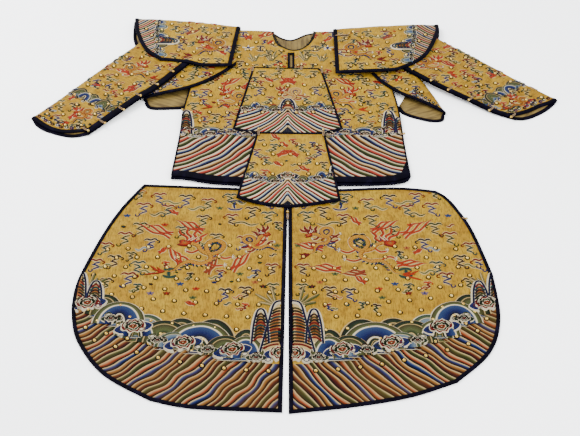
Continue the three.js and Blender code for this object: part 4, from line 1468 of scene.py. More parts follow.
HILL_TONES = {
    "blue": (
        "white", "white", "olive", "sage", "white", "white", "sky", "blue", "navy", "white", "white",
    ),
    "green": (
        "cream", "cream", "ink", "green", "olive", "cream", "olive", "sage", "green", "cream", "cream",
    ),
    "grey": (
        "white", "white", "teal", "sage", "white", "grey", "pale_blue", "sky", "navy", "white", "white",
    ),
}
HILL_LINES = (0, 0.05, 0.08, 0.26, 0.29, 0.33, 0.37, 0.7, 0.9, 0.93, 1.0)


def hill(needle, frame, width, height, kind="blue", band=None):
    """A rolling wave: bands in the shape of its arch, pale at the crest, with a smaller wave inside."""
    band = min(band or 0.55 * height, height)
    turns = np.radians(np.linspace(6, 174, max(8, int(width / 7))))
    lines = []
    rises = []
    for share in HILL_LINES:
        inner = 1 - share * band / height
        lines.append(frame(np.column_stack([
            (width / 2 - 1.25 * share * band) * np.cos(turns), height * inner * np.sin(turns) ** 0.85,
        ])))
        rises.append(1.0 + 0.8 * math.sin(math.pi * share) if share else -0.3)
    needle.web(lines, HILL_TONES[kind], rises)
    left = height - band
    if left > 9:
        inside = {"blue": "green", "green": "grey", "grey": "blue"}[kind]
        hill(needle, frame, width - 2.4 * band, left, inside, 0.6 * left if left > 24 else left)


def rock(needle, frame, width, height, open_side=0):
    """A banded rock under an arch of blue; open_side leaves out the foot at a panel's edge."""
    half_width = width / 2
    arch = (
        (-half_width, 0), (-0.8 * half_width, 0.55 * height), (-0.42 * half_width, 0.92 * height),
        (0, height),
        (0.42 * half_width, 0.92 * height), (0.8 * half_width, 0.55 * height), (half_width, 0),
    )
    if open_side:
        arch = ((0, height), (0.38 * width, 0.94 * height), (0.62 * width, 0.6 * height), (width, 0))
    outer = np.array(arch)
    filled = np.concatenate([outer, [(outer[0][0], 0)]]) if open_side else outer
    needle.patch(frame, filled, ("cream", "salmon", "tan"), rise=0.7, smooth=False)
    count = max(3, int(height / 13))
    needle.on = 0.8
    for k in range(count):
        level = height * (0.08 + 0.78 * k / count)
        share = 1 - (level / height) ** 1.6
        lift = 9 + 3 * share
        tone = ("red", "ink", "olive", "maroon", "teal")[k % 5]
        if open_side:
            reach = width * (0.3 + 0.62 * share)
            path = ((0, level + lift), (0.5 * reach, level + 0.8 * lift), (reach, level - 3))
        else:
            reach = half_width * (0.3 + 0.55 * share)
            path = ((-reach, level - 3), (-0.5 * reach, level + 0.7 * lift), (0, level + lift),
                    (0.5 * reach, level + 0.7 * lift), (reach, level - 3))
        needle.ribbon(frame, path, 8.6, tone, rise=1.0, taper=(0.8, 0.8))
    needle.on = 0.6
    needle.ribbon(frame, arch, 16.0, "white", rise=0.8, taper=(1, 1))
    needle.on = 1.1
    needle.ribbon(frame, arch, 11.0, ("blue", "navy", "blue"), rise=0.9, taper=(1, 1))
    needle.on = 0.0


def rays(needle, frame, count=4, length=56, spread=(20, 80)):
    """Pale gleams that rise from behind a rock."""
    for k in range(count):
        angle = math.radians(spread[0] + (spread[1] - spread[0]) * k / max(1, count - 1))
        reach = length * (1 if k % 2 else 0.7)
        a = np.array((math.cos(angle), math.sin(angle)))
        path = (a * 6, a * reach * 0.6 + (0, 2), a * reach)
        needle.ribbon(frame, path, 9.0, ("sage", "cream", "sage"), rise=0.45, taper=(0.9, 0.2))
        needle.ribbon(frame, path, 2.4, "ink", rise=0.9, taper=(0.9, 0.1))


# Where each motif lies
def sew_clouds(needle, at, clouds):
    for p, y, face, cap, chain, tail, length, size in clouds:
        cloud(needle, at(p, y, size=size, face=face), cap, chain, tail, length)


def sew_flames(needle, at, fires):
    for p, y, angle, size, face, tone in fires:
        flames(needle, at(p, y, angle, size, face), tone)


def beside(flip):
    """A frame for motifs placed by their distance from the middle, on one side of it."""
    def at(p, y, angle=0.0, size=1.0, face=1):
        return motif_frame((MIDDLE + flip * p, y), flip * angle, size, flip * face)

    return at


# Distance from the middle, height, side that the tail points to, cap, chain, tail, length, size
SKIRT_CLOUDS = (
    (381, -34, -1, "red", "blue", "sage", 52, 1.3), (425, -76, 1, "red", "blue", "sage", 0, 1.4),
    (302, -42, 1, "ink", "blue", "pale_blue", 0, 1.4), (236, -58, 1, "red", "green", "sage", 46, 1.3),
    (105, -92, 1, "maroon", "ink", "red", 0, 1.3), (352, -84, 1, "red", "teal", "green", 42, 1.25),
    (247, -128, 1, "maroon", "green", "sage", 0, 1.3), (163, -122, -1, "red", "maroon", "green", 64, 1.25),
    (57, -112, 1, "teal", "green", "sage", 0, 1.4), (428, -158, 1, "green", "olive", "sage", 0, 1.4),
    (306, -172, 1, "teal", "green", "sage", 0, 1.2), (392, -222, 1, "navy", "blue", "pale_blue", 34, 1.3),
    (468, -196, 1, "red", "green", "green", 0, 1.4), (125, -212, 1, "red", "blue", "pale_blue", 0, 1.4),
    (206, -202, 1, "ink", "green", "sage", 38, 1.2), (444, -352, 1, "red", "blue", "sky", 0, 1.4),
    (490, -286, 1, "ink", "maroon", "sage", 36, 1.3), (420, -310, -1, "teal", "teal", "sage", 40, 1.3),
    (172, -410, 1, "navy", "blue", "pale_blue", 0, 1.2),
    (117, -404, 1, "maroon", "maroon", "salmon", 30, 1.2),
    (44, -318, 1, "red", "maroon", "sage", 0, 1.2), (60, -52, -1, "red", "blue", "sage", 40, 1.2),
    (170, -36, -1, "teal", "green", "sage", 40, 1.2), (540, -300, 1, "red", "blue", "sage", 0, 1.2),
    (40, -392, -1, "green", "olive", "sage", 0, 1.1), (505, -372, 1, "maroon", "green", "sage", 0, 1.1),
    (520, -236, 1, "red", "teal", "sage", 0, 1.2), (440, -20, 1, "ochre", "green", "sage", 0, 1.0),
)
SKIRT_BLOSSOMS = (
    (298, -386, "sky", "blue"), (253, -404, "flame", "red"), (378, -420, "lilac", "blue"),
    (214, -288, "salmon", "maroon"), (357, -158, "flame", "red"), (133, -349, "sage", "green"),
    (68, -396, "maroon", "red"), (260, -436, "sage", "green"), (333, -420, "red", "flame"),
    (200, -90, "sage", "teal"), (340, -250, "salmon", "red"), (470, -120, "sky", "blue"),
    (90, -380, "salmon", "red"), (30, -240, "sage", "olive"), (28, -60, "lilac", "blue"),
)
# Distance from the middle, foot, width, height, kind
SKIRT_HILLS = (
    (500, -500, 110, 84, "green"), (380, -586, 130, 98, "grey"), (285, -612, 130, 112, "green"),
    (110, -648, 100, 108, "green"), (200, -626, 140, 122, "green"), (455, -534, 150, 90, "blue"),
    (330, -600, 150, 90, "green"), (405, -574, 120, 66, "blue"), (235, -620, 190, 104, "blue"),
    (300, -612, 110, 60, "grey"), (165, -640, 120, 76, "green"), (110, -652, 110, 86, "blue"),
    (545, -470, 80, 56, "blue"),
)


# Distance from the middle, height, angle, size, side, tone
SKIRT_FLAMES = (
    (338, -214, -0.1, 1.45, -1, "flame"), (248, -196, 0.0, 1.2, -1, "flame"),
    (306, -322, 0.5, 1.1, -1, "flame"), (150, -344, 0.4, 1.2, 1, "flame"),
    (100, -262, 0.3, 1.1, 1, "flame"), (220, -352, 0.6, 0.9, 1, "coral"),
)
# Distance from the middle and height of the large and small cloud heads in turn
SKIRT_HEADS = (
    (545, -462), (476, -516), (413, -546), (345, -590), (276, -600), (210, -622), (145, -624), (82, -648),
)


def sew_skirt(needle, flip):
    at = beside(flip)
    sew_clouds(needle, at, SKIRT_CLOUDS)
    for p, y, petal, heart in SKIRT_BLOSSOMS:
        blossom(needle, at(p, y, size=1.2), petal, heart)
    double_cloud(needle, at(155, -78, size=1.2), "blue")
    double_cloud(needle, at(330, -345), "teal", "sage")
    dragon(needle, at(285, -232, 0.1, 1.18, face=-1))
    dragon(needle, at(66, -198, 0.35, 0.72), "thread", "blue", "red")
    sew_flames(needle, at, SKIRT_FLAMES)
    for k, (p, y, width, height, kind) in enumerate(SKIRT_HILLS):
        needle.level = 0.35 * k
        hill(needle, at(p, y - 6), width, height, kind)
    needle.level = 4.4
    rays(needle, at(30, -468), 4, 72, (15, 78))
    rays(needle, at(548, -398, size=0.9, face=-1), 4, 60, (10, 80))
    rock(needle, at(72, -600), 46, 118)
    rock(needle, at(14, -628), 58, 176, open_side=1)
    rock(needle, at(578, -452), 50, 106)
    rock(needle, at(530, -462), 44, 82)
    needle.level = 5.0
    for k, p in enumerate(range(50, 580, 31)):
        tone = ("blue", "maroon", "green", "red")[k % 4]
        y = edge_at(SKIRT_STRIPE_TOP, p) + 9 + 6 * (k % 2)
        curl(needle, at(p, y, size=1.15, face=1 if k % 2 else -1), tone)
    needle.level = 5.4
    for k, (p, y) in enumerate(SKIRT_HEADS):
        if k % 2:
            ruyi(needle, at(p, y, size=(0.66, 0.95)), ("maroon", "teal", "red"), "green")
        else:
            ruyi(needle, at(p, y, 0.2, (1.22, 1.8)))
    ruyi(needle, at(20, -636, size=(1.0, 1.7)))
    needle.level = 0.0


JACKET_CLOUDS = (
    (269, 440, 1, "red", "blue", "sage", 40, 1.1), (300, 372, -1, "teal", "green", "sage", 0, 1.1),
    (230, 320, 1, "maroon", "green", "sage", 36, 1.1), (220, 560, -1, "red", "teal", "sage", 30, 1.1),
    (278, 610, 1, "navy", "blue", "pale_blue", 0, 1.1), (186, 300, 1, "red", "blue", "sage", 0, 1.0),
    (262, 288, -1, "ochre", "olive", "sage", 30, 0.9), (160, 590, 1, "maroon", "ink", "red", 0, 1.0),
    (250, 500, 1, "green", "olive", "sage", 34, 1.0), (305, 320, 1, "red", "maroon", "sage", 0, 0.9),
)
JACKET_FLAMES = (
    (212, 462, 0, 1.0, 1, "flame"), (96, 722, 0, 1.0, 1, "flame"), (176, 700, 0, 0.9, -1, "flame"),
    (250, 660, 0, 0.9, 1, "red"),
)
JACKET_HILLS = (
    (285, 226, 80, 52, "green"), (150, 232, 70, 44, "grey"), (240, 234, 92, 42, "blue"),
    (184, 240, 84, 34, "blue"), (122, 226, 56, 40, "blue"),
)
JACKET_HEADS = ((311, 252), (243, 232), (178, 240), (128, 232), (276, 228), (210, 240))


def sew_jacket(needle, flip):
    at = beside(flip)
    sew_clouds(needle, at, JACKET_CLOUDS)
    dragon(needle, at(205, 425, 0.1, 0.72, face=-1))
    sew_flames(needle, at, JACKET_FLAMES)
    blossom(needle, at(134, 668, size=2.4), "white", "blue")
    blossom(needle, at(196, 622, size=1.9), "pink", "maroon")
    double_cloud(needle, at(152, 742, size=0.8), "blue")
    double_cloud(needle, at(92, 666, size=0.8), "navy")
    rays(needle, at(58, 596), 5, 66, (62, 122))
    rays(needle, at(112, 590), 4, 52, (50, 110))
    cloud(needle, at(64, 652, size=0.9), "green", "olive", "sage", 40)
    for k, (p, foot, width, height, kind) in enumerate(JACKET_HILLS):
        needle.level = 0.6 * (k % 3)
        hill(needle, at(p, foot - 8), width, height, kind)
    needle.level = 1.6
    for k, p in enumerate(range(112, 330, 24)):
        tone = ("blue", "maroon", "green")[k % 3]
        curl(needle, at(p, edge_at(JACKET_STRIPE_TOP, p) + 6, size=0.95), tone)
    rock(needle, at(322, 232), 42, 106)
    rock(needle, at(352, 234), 34, 72)
    rays(needle, at(312, 300, face=-1), 3, 40, (20, 80))
    needle.level = 2.2
    for k, (p, y) in enumerate(JACKET_HEADS):
        tones = ("red", "green", "coral") if k else ("coral", "red", "green")
        ruyi(needle, at(p, y, size=0.68 if k < 4 else 0.45), tones)
    needle.level = 0.0


def sew_flap(needle, flip, top, clouds):
    at = beside(flip)
    sew_clouds(needle, at, clouds)
    last = top[0][-1] - 14
    for k, p in enumerate(range(16, last, 29)):
        needle.level = 0.5 * (k % 2)
        kind = ("blue", "green", "grey")[k % 3]
        hill(needle, at(p, edge_at(top, p) - 4), 44, 34 if k % 2 else 26, kind)
    needle.level = 1.2
    for k, p in enumerate(range(26, last, 19)):
        curl(needle, at(p, edge_at(top, p) + 3, size=0.7), ("blue", "maroon", "teal")[k % 3])
    needle.level = 1.8
    for p in range(38, last, 50):
        ruyi(needle, at(p, edge_at(top, p) + 2, size=0.55))
    rock(needle, at(last + 2, edge_at(top, last) - 8), 34, 58)
    needle.level = 0.0


FRONT_CLOUDS = (
    (86, 532, -1, "green", "olive", "sage", 36, 0.9), (28, 546, 1, "sage", "olive", "sage", 34, 0.9),
    (92, 448, 1, "navy", "blue", "pale_blue", 0, 1.1), (126, 480, -1, "red", "green", "sage", 32, 1.0),
    (58, 404, 1, "red", "teal", "sage", 30, 0.9), (134, 410, 1, "teal", "green", "sage", 0, 0.9),
)
LOWER_CLOUDS = (
    (96, 150, -1, "red", "blue", "sage", 34, 1.0), (42, 172, 1, "teal", "green", "sage", 30, 0.9),
    (110, 90, 1, "maroon", "green", "sage", 0, 0.9), (66, 112, -1, "red", "teal", "sage", 28, 0.8),
)


def chevron(needle, y, height, width, tone):
    """A peak on the middle line, in a pale edge."""
    frame = motif_frame((MIDDLE, y))
    peak = ((-width / 2, -height), (0, 0), (width / 2, -height))
    needle.patch(frame, peak, (tone, tone), rise=1.0, smooth=False)
    for slope in (peak[:2], peak[1:]):
        needle.ribbon(frame, slope, 4.4, "cream", rise=1.3, taper=(1, 1))


def sew_front_flap(needle):
    for flip in (1, -1):
        sew_flap(needle, flip, FRONT_STRIPE_TOP, FRONT_CLOUDS)
        flames(needle, beside(flip)(22, 470, size=0.8))
    chevron(needle, 268, 36, 52, "navy")
    needle.level = 1.4
    rock(needle, motif_frame((MIDDLE, 352)), 44, 44)
    needle.level = 0.0
    dragon(needle, motif_frame((MIDDLE - 18, 432), 0.1, 0.62), "cream", "lilac", "coral")


def sew_lower_flap(needle):
    for flip in (1, -1):
        sew_flap(needle, flip, LOWER_STRIPE_TOP, LOWER_CLOUDS)
        flames(needle, beside(flip)(30, 120, size=0.7))
    chevron(needle, -62, 20, 44, "navy")
    needle.level = 1.6
    ruyi(needle, motif_frame((MIDDLE, 34), size=(0.8, 1.1)), wings="navy")
    needle.level = 0.0


def sew_guard(needle):
    """Motifs by distance from the outer end and from the ridge; upright is away from the ridge's end."""
    def at(v, out, size=1.0):
        return motif_frame((edge_at(GUARD_STRIPE_EDGE, v) + out, v), -math.pi / 2, size)

    for k, v in enumerate(range(30, 262, 27)):
        needle.level = 0.5 * (k % 2)
        hill(needle, at(v, -4), 42, 44 if k % 2 else 34, ("blue", "grey", "green")[k % 3])
    needle.level = 1.4
    for k, v in enumerate(range(24, 262, 19)):
        curl(needle, at(v, 3, 0.75), ("navy", "maroon", "teal")[k % 3], ("white", "pink")[k % 2])
    needle.level = 2.0
    for v in range(44, 250, 52):
        ruyi(needle, at(v, 4, 0.55), ("maroon", "sage", "pink"))
    rock(needle, motif_frame((110, 140), -math.pi / 2), 38, 66)
    needle.level = 0.0


def flat_frame(panel, x, y, angle=0.0, size=1.0, face=1):
    """A frame for a motif that looks upright on the folded panel's outer face."""
    fold = panel.fold
    turn = math.atan2(fold["along"][1], fold["along"][0])
    hand = 1 if fold["along"][0] * fold["across"][1] - fold["along"][1] * fold["across"][0] > 0 else -1
    place = panel.cut_place(x, y)
    inner = motif_frame((0, 0), angle, size, face)

    def to_cut(points):
        flat = inner(points)
        x, y = flat.T
        c, s = math.cos(-turn), math.sin(-turn)
        return place + np.column_stack([c * x - s * y, hand * (s * x + c * y)])

    return to_cut


def middle_of(panel, u, v):
    """The floor place of a point of a folded cut."""
    fold = panel.fold
    return fold["origin"] + u * fold["along"] + (v - fold["bend"]) * fold["across"]


def sew_by_cut(needle, clouds, dragons=(), fires=()):
    panel = needle.panel

    def at(u, v, angle=0.0, size=1.0, face=1):
        return flat_frame(panel, *middle_of(panel, u, v), angle, size, face)

    sew_clouds(needle, at, clouds)
    for u, v, face, size, belly, back, fire in dragons:
        dragon(needle, at(u, v, size=size, face=face), belly, back, fire)
    sew_flames(needle, at, fires)


GUARD_CLOUDS = (
    (190, 52, -1, "red", "blue", "sage", 34, 1.1), (250, 46, 1, "teal", "green", "sage", 30, 1.0),
    (330, 60, -1, "maroon", "olive", "sage", 32, 1.0), (190, 150, 1, "navy", "blue", "pale_blue", 0, 1.0),
    (230, 226, 1, "red", "teal", "sage", 30, 1.0), (330, 216, -1, "green", "olive", "sage", 0, 1.0),
    (180, 212, -1, "red", "green", "sage", 0, 1.0), (350, 140, 1, "red", "blue", "sage", 0, 1.0),
    (290, 40, 1, "ochre", "green", "sage", 0, 0.9), (290, 224, 1, "maroon", "green", "sage", 0, 1.0),
)
SLEEVE_CLOUDS = (
    (60, 60, 1, "red", "blue", "sage", 32, 1.0), (90, 130, -1, "teal", "green", "sage", 34, 1.0),
    (130, 60, -1, "maroon", "green", "sage", 0, 1.0), (150, 160, 1, "navy", "blue", "pale_blue", 30, 1.0),
    (100, 30, 1, "green", "olive", "sage", 0, 0.9), (300, 50, 1, "red", "green", "sage", 34, 1.0),
    (330, 160, -1, "teal", "blue", "pale_blue", 0, 1.0), (380, 60, 1, "maroon", "olive", "sage", 30, 1.0),
    (430, 150, -1, "red", "blue", "sage", 34, 1.0), (470, 60, 1, "green", "green", "sage", 0, 1.0),
    (360, 186, 1, "red", "maroon", "sage", 0, 0.9), (290, 110, 1, "ochre", "green", "sage", 0, 0.9),
)
LEAF_CLOUDS = (
    (110, 60, 1, "red", "blue", "sage", 30, 0.9), (160, 100, -1, "teal", "green", "sage", 30, 0.9),
    (190, 50, 1, "maroon", "olive", "sage", 0, 0.9), (230, 110, 1, "navy", "blue", "pale_blue", 0, 0.9),
)


# Where the band of waves crosses each sleeve: distance from the cuff at the fold, and its slant
WAVES_AT = {"left": (160, 0.03), "right": (122, 0.14)}


def sew_sleeve(needle, side):
    sew_by_cut(
        needle, SLEEVE_CLOUDS,
        dragons=(
            (400, 110, -1, 0.66, "ochre", "teal", "flame"), (110, 96, 1, 0.5, "coral", "green", "flame"),
        ),
        fires=(
            (340, 100, 0, 0.8, 1, "flame"), (70, 100, 0, 0.7, -1, "flame"), (460, 120, 0, 0.7, 1, "coral"),
        ),
    )

    def at(u, v, size=1.0):
        return motif_frame((u, v), -math.pi / 2, size)

    start, slant = WAVES_AT[side]
    for k, v in enumerate(range(10, 206, 26)):
        needle.level = 0.5 * (k % 3)
        hill(needle, at(start + slant * v, v), 62, 46 if k % 2 else 38, ("blue", "green")[k % 2])
    needle.level = 1.2
    for k, v in enumerate(range(12, 200, 30)):
        tone = ("blue", "teal", "maroon", "green")[k % 4]
        curl(needle, at(start + slant * v - 3, v, 0.7), tone, ("white", "pink")[k % 2])
    needle.level = 0.0
    out, down = np.array(sorted(SLEEVES[side]["cuff"]["points"], key=lambda point: point[1]), float).T
    seam_start = SLEEVES[side]["seam"]["points"][0][1]
    for k, v in enumerate(range(16, seam_start - 16, 15)):
        u = edge_at((down, out), v) + 28 + 4 * (k % 2)
        curl(needle, at(u - 6, v, 0.8), ("maroon", "green", "blue")[k % 3], ("pink", "white")[k % 2])
        curl(needle, at(u + 12, v + 6, 0.55), ("teal", "navy", "maroon")[k % 3], ("sage", "white")[k % 2])


def sew_leaf(needle, side):
    sew_by_cut(needle, LEAF_CLOUDS)
    for k in range(7):
        u, v = 28 + 15 * k, 22 + 6 * k
        needle.level = 0.4 * (k % 2)
        curl(needle, motif_frame((u, v), 0.6, 0.8), ("blue", "lilac", "teal")[k % 3])
        curl(needle, motif_frame((u + 12, v - 8), 0.6, 0.6), ("navy", "green", "maroon")[k % 3])
    needle.level = 0.0


SPRIG_TONES = (
    ("red", "blue", "sage"), ("teal", "green", "sage"), ("maroon", "green", "green"),
    ("blue", "navy", "pale_blue"), ("red", "maroon", "salmon"), ("flame", "red", "coral"),
    ("green", "olive", "sage"), ("ink", "teal", "sage"),
)
# Spacing of the small motifs and how far they keep from the rows of stripes
SCATTER = {
    "skirt": (44, 150), "jacket_front": (31, 60), "front_flap": (32, 46), "lower_flap": (31, 42),
    "shoulder_guard": (31, 56), "sleeve": (31, 0), "underarm_guard": (30, 0),
}


def scatter(needle, spacing, keep_off, seed):
    """Fills the open ground between the motifs with small clouds, licks of fire and curls."""
    panel = needle.panel
    chance = random.Random(seed)
    _, zone = STRIPES.get(panel.node, NO_STRIPES)
    loop = panel.outline.inset(panel.outline.widths)
    places = hexagonal([loop], spacing, 12)
    if panel.fold:
        places = places[places[:, 1] > panel.fold["bend"] + 4]
    places = places + np.array([(chance.uniform(-9, 9), chance.uniform(-9, 9)) for _ in places])
    places = places[zone(places) < -keep_off]
    sewn = np.concatenate(needle.cut)
    for place in places:
        if np.min(np.hypot(*(sewn - place).T)) < 0.36 * spacing:
            continue
        sizes = (0.55, 0.8) if panel.fold else (0.6, 0.9)
        turned = (chance.uniform(-0.3, 0.3), chance.uniform(*sizes), chance.choice((-1, 1)))
        if panel.fold:
            frame = flat_frame(panel, *middle_of(panel, *place), *turned)
        else:
            frame = motif_frame(place, *turned)
        cap, chain, tail = chance.choice(SPRIG_TONES)
        kind = chance.random()
        if kind < 0.5:
            cloud(needle, frame, cap, chain, tail, chance.choice((0, 30, 38)))
        elif kind < 0.68:
            flames(needle, frame, "flame", 2, 40)
        elif kind < 0.84:
            blossom(needle, frame, cap, chain)
        else:
            needle.outlined(frame, ((-14, 4), (-4, -4), (6, 4), (16, -2)), 7.0, cap)


def sew(node, panel):
    """The embroidery of one panel, or nothing."""
    needle = Needlework(panel)
    side = node.rsplit("_", 1)[-1]
    if node in ("skirt_left", "skirt_right"):
        sew_skirt(needle, -1 if side == "left" else 1)
    elif node == "jacket_front":
        for flip in (-1, 1):
            sew_jacket(needle, flip)
        as_cut = motif_frame((0, 0))
        needle.ribbon(as_cut, NECKLINE, 7, "ink", rise=1.6, taper=(1, 1))
        for end in (NECKLINE[:3], NECKLINE[:3:-1]):
            needle.ribbon(as_cut, end, 20, "ink", rise=2.2, taper=(1, 0.2))
    elif node == "front_flap":
        sew_front_flap(needle)
    elif node == "lower_flap":
        sew_lower_flap(needle)
    elif node.startswith("shoulder_guard"):
        sew_guard(needle)
        sew_by_cut(
            needle, GUARD_CLOUDS,
            dragons=((262, 128, 1 if side == "left" else -1, 0.78, "ochre", "blue", "red"),),
            fires=((300, 170, 0, 0.7, 1, "flame"), (200, 96, 0, 0.7, -1, "coral")),
        )
    elif node.startswith("sleeve"):
        sew_sleeve(needle, side)
    elif node.startswith("underarm_guard"):
        sew_leaf(needle, side)
    else:
        return None
    spacing, keep_off = SCATTER[node.replace("_left", "").replace("_right", "")]
    scatter(needle, spacing, keep_off, len(node))
    return needle.piece(f"{node}_embroidery")


# Studs, loops and buttons
KNOB_SIDES = 12
# Radius and height of each ring and of the top; the buttons' radii are shares of their own
# The two outer rings of each stud are dark satin, a painted shadow round its foot
STUD_PROFILE = ((8.0, 0.1), (7.7, 0.9), (5.2, 1.3), (5.0, 2.0), (4.1, 3.5), (2.3, 4.5), (0, 4.8))
BUTTON_PROFILE = ((0.55, 0.0), (0.95, 1.2), (1.0, 2.6), (0.8, 4.4), (0.42, 5.4), (0, 5.7))


def knob(x, y, foot, profile, start, spin=0.0):
    """Points and faces of a low round knob; its faces count from the start given."""
    vertices = []
    for radius, height in profile[:-1]:
        for i in range(KNOB_SIDES):
            angle = 2 * math.pi * (i + spin) / KNOB_SIDES
            vertices.append((x + radius * math.cos(angle), y + radius * math.sin(angle), foot + height))
    vertices.append((x, y, foot + profile[-1][1]))
    top = len(vertices) - 1
    last = top - KNOB_SIDES
    faces = grid_faces(len(profile) - 1, KNOB_SIDES, wrap=True)
    faces += [(last + i, last + (i + 1) % KNOB_SIDES, top) for i in range(KNOB_SIDES)]
    faces.append(tuple(reversed(range(KNOB_SIDES))))
    return vertices, [tuple(start + i for i in face) for face in faces]


def studs(name, panel):
    """Gilt studs on dark rings, each on the highest cloth near it; the dark satin ring round each stud is a
    painted shadow at its foot.
    """
    vertices = []
    faces = []
    slots = []
    for k, (x, y, _) in enumerate(panel.studs):
        near = [panel.cut_place(x + dx, y + dy) for dx, dy in ((0, 0), (6, 0), (0, 6), (-6, 0), (0, -6))]
        foot = panel.lift(near)[:, 2].max() - 0.2
        more_vertices, more_faces = knob(x, y, foot, STUD_PROFILE, len(vertices), 0.37 * k)
        vertices += more_vertices
        faces += more_faces
        # Dark satin on the two outer bands as painted shadow round the stud, gilt on the dome
        slots += [1] * 2 * KNOB_SIDES + [0] * 4 * KNOB_SIDES + [1]
    return link(name, vertices, faces, [GILT, SATIN], face_slots=slots)


def slit_outline():
    outline = Outline([bound(-SLIT["binding"], straight(*slit_corners(0)))])
    outline.widths = np.abs(outline.widths)
    return outline


# The stretch of the outline that a binding follows, where it isn't all of it
BINDING_RUNS = {
    "jacket_back_binding": lambda point: point[1] < 600,
    "neck_binding": lambda point: point[1] > 600,
}


def dress(node, panel):
    """The cloth, bindings and studs of one panel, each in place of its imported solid."""
    stripe, zone = STRIPES.get(node, NO_STRIPES)
    fields = {"stripe": stripe, "zone": zone, "pale": everywhere(PALE.get(node, 0.0))}
    cloth = declared(panel.cloth(f"{node}_silk", [GOLD, LINING], fields), node)
    extras = []
    for binding in panel.bindings:
        outline = slit_outline() if binding == "slit_binding" else None
        satin = edging(f"{binding}_satin", panel, BINDING_RUNS.get(binding), outline)
        extras.append(declared(satin, binding))
    if panel.studs:
        extras.append(declared(studs(f"{node}_studs", panel)))
    extras.append(sew(node, panel))
    return cloth, [piece for piece in extras if piece]


dressed = {node: dress(node, panel) for node, panel in panels.items()}


# Each sheet's cut: how it is held and what it lies on
LIES_ON = {
    "skirt_left": ("laid", ["floor"]),
    "skirt_right": ("laid", ["floor"]),
    "shoulder_guard_left": ("folded", ["jacket_front", "sleeve_left"]),
    "shoulder_guard_right": ("folded", ["jacket_front", "sleeve_right"]),
    "underarm_guard_left": ("folded", ["floor"]),
    "underarm_guard_right": ("folded", ["floor"]),
    "sleeve_left": ("folded", ["floor", "underarm_guard_left"]),
    "sleeve_right": ("folded", ["floor", "underarm_guard_right"]),
    "jacket_back": ("laid", ["floor"]),
    "jacket_front": ("laid", ["jacket_back"]),
    "front_flap": ("laid", ["jacket_front"]),
    "lower_flap": ("laid", ["jacket_front", "skirt_left", "skirt_right"]),
}


def cord_ring(points, radius, sides=6):
    """A closed tube through the points of a loop."""
    count = len(points)
    vertices = []
    faces = []
    for i in range(count):
        ahead = points[(i + 1) % count] - points[i - 1]
        ahead /= np.linalg.norm(ahead)
        side = np.cross(ahead, (0, 0, 1))
        side /= np.linalg.norm(side)
        up = np.cross(side, ahead)
        for k in range(sides):
            angle = 2 * math.pi * k / sides
            vertices.append(points[i] + radius * (math.cos(angle) * side + math.sin(angle) * up))
    for i in range(count):
        j = (i + 1) % count
        for k in range(sides):
            m = (k + 1) % sides
            faces.append((i * sides + k, j * sides + k, j * sides + m, i * sides + m))
    return vertices, faces


def toggle(node, centre, angle, length, width):
    """A silk loop with a small gilt button through one end."""
    low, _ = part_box(node)
    tree = tree_of([node])
    half_length, half_width = length / 2 - 1.4, max(width / 2 - 1.4, 1.0)
    turn = np.array([[math.cos(angle), -math.sin(angle)], [math.sin(angle), math.cos(angle)]])
    around = 2 * math.pi * np.arange(CORD_POINTS) / CORD_POINTS
    narrowing = 0.75 - 0.25 * np.cos(around)
    flat = np.column_stack([half_length * np.cos(around), half_width * np.sin(around) * narrowing])
    places = np.array(centre) + flat @ turn.T
    heights = []
    for x, y in places:
        found = crossings(tree, x, y)
        heights.append(found[0] + CORD_LIFT if found else np.nan)
    heights = np.array(heights)
    heights[np.isnan(heights)] = np.nanmean(heights)
    smooth = (np.roll(heights, 1) + 2 * heights + np.roll(heights, -1)) / 4
    vertices, faces = cord_ring(np.column_stack([places, smooth]), CORD_RADIUS)
    x, y = np.array(centre) + turn @ (half_length - width / 2 + 1.0, 0)
    found = crossings(tree, x, y)
    foot = (found[0] if found else low.z / MM) + 1.4
    radius = min(4.6, width / 2 + 0.4)
    profile = [(share * radius, height) for share, height in BUTTON_PROFILE]
    more_vertices, more_faces = knob(x, y, foot, profile, len(vertices))
    slots = [0] * len(faces) + [1] * len(more_faces)
    vertices += more_vertices
    faces += more_faces
    piece = link(f"{node}_cord", vertices, faces, [CORD, GILT], face_slots=slots)
    return declared(piece, node)


UPRIGHT = math.pi / 2
# Middle, angle, length and width of each tie, toggle and loop
TOGGLES = {
    "skirt_tie": ((-28, -122), UPRIGHT, 30, 8),
    "skirt_toggle": ((490, -133), -0.45, 18, 8),
    "jacket_toggle_left": ((-360, 342), math.pi, 18, 8),
    "jacket_toggle_right": ((331, 229), 0, 18, 8),
    "shoulder_guard_tie": ((158, 724), 0.06, 52, 5),
}


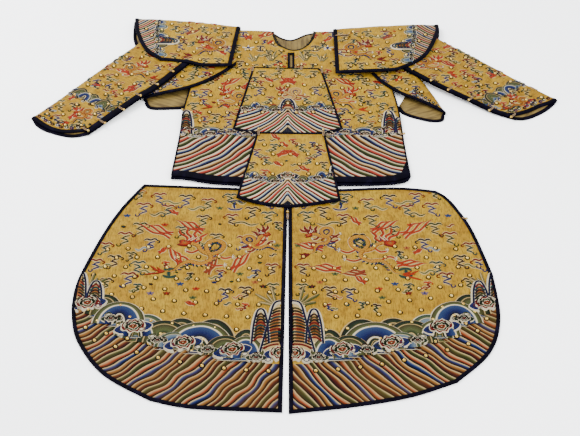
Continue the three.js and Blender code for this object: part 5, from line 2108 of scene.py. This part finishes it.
def make_toggles():
    for i, spot in enumerate(((-144, 552), (-60, 556), (17, 556), (84, 540))):
        toggle(f"front_flap_loop_{i + 1}", spot, UPRIGHT, 34, 8)
    for i, spot in enumerate(((-119, 232), (83, 230))):
        toggle(f"lower_flap_loop_{i + 1}", spot, UPRIGHT, 34, 8)
    for side, sleeve in SLEEVES.items():
        across = sleeve["fold"]["across"]
        angle = math.atan2(across[1], across[0])
        for i, spot in enumerate(sleeve["loops"]):
            toggle(f"sleeve_{side}_loop_{i + 1}", spot, angle, 30, 8)
    for node, sizes in TOGGLES.items():
        toggle(node, *sizes)


make_toggles()

for node, (cloth, extras) in dressed.items():
    held, rests_on = LIES_ON[node]
    panel = panels[node]
    panel.size()
    panel.area()
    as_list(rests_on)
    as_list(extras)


# Floor, light and camera, in metres
def make_floor():
    reach, depth = 6.0, -0.0006
    corners = [(x * reach, y * reach, depth) for x, y in ((-1, -1), (1, -1), (1, 1), (-1, 1))]
    mesh = bpy.data.meshes.new("floor")
    mesh.from_pydata(corners, [], [(0, 1, 2, 3)])
    mesh.materials.append(floor_paint())
    floor = bpy.data.objects.new("floor", mesh)
    bpy.context.scene.collection.objects.link(floor)


def make_light(name, place, size, power):
    """A square lamp that looks at the middle of the armour."""
    data = bpy.data.lights.new(name, "AREA")
    data.size = size
    data.energy = power
    lamp = bpy.data.objects.new(name, data)
    lamp.location = place
    lamp.rotation_mode = "QUATERNION"
    lamp.rotation_quaternion = (Vector(LAMP_AIM) - Vector(place)).to_track_quat("-Z", "Y")
    bpy.context.scene.collection.objects.link(lamp)


def make_world(strength):
    world = bpy.data.worlds.new("studio")
    world.use_nodes = True
    background = world.node_tree.nodes["Background"]
    background.inputs["Color"].default_value = (0.95, 0.97, 1.0, 1)
    background.inputs["Strength"].default_value = strength
    bpy.context.scene.world = world


def make_camera():
    data = bpy.data.cameras.new("camera")
    data.sensor_width = 36.0
    data.lens = CAMERA_LENS
    camera = bpy.data.objects.new("camera", data)
    camera.location = CAMERA_PLACE
    camera.rotation_euler = (math.radians(CAMERA_TILT), 0, 0)
    bpy.context.scene.collection.objects.link(camera)
    bpy.context.scene.camera = camera


make_floor()
make_light("key", (-1.6, 1.2, 2.6), 1.6, 175)
make_light("fill", (1.8, -1.4, 2.4), 2.4, 105)
make_world(3.2)
make_camera()
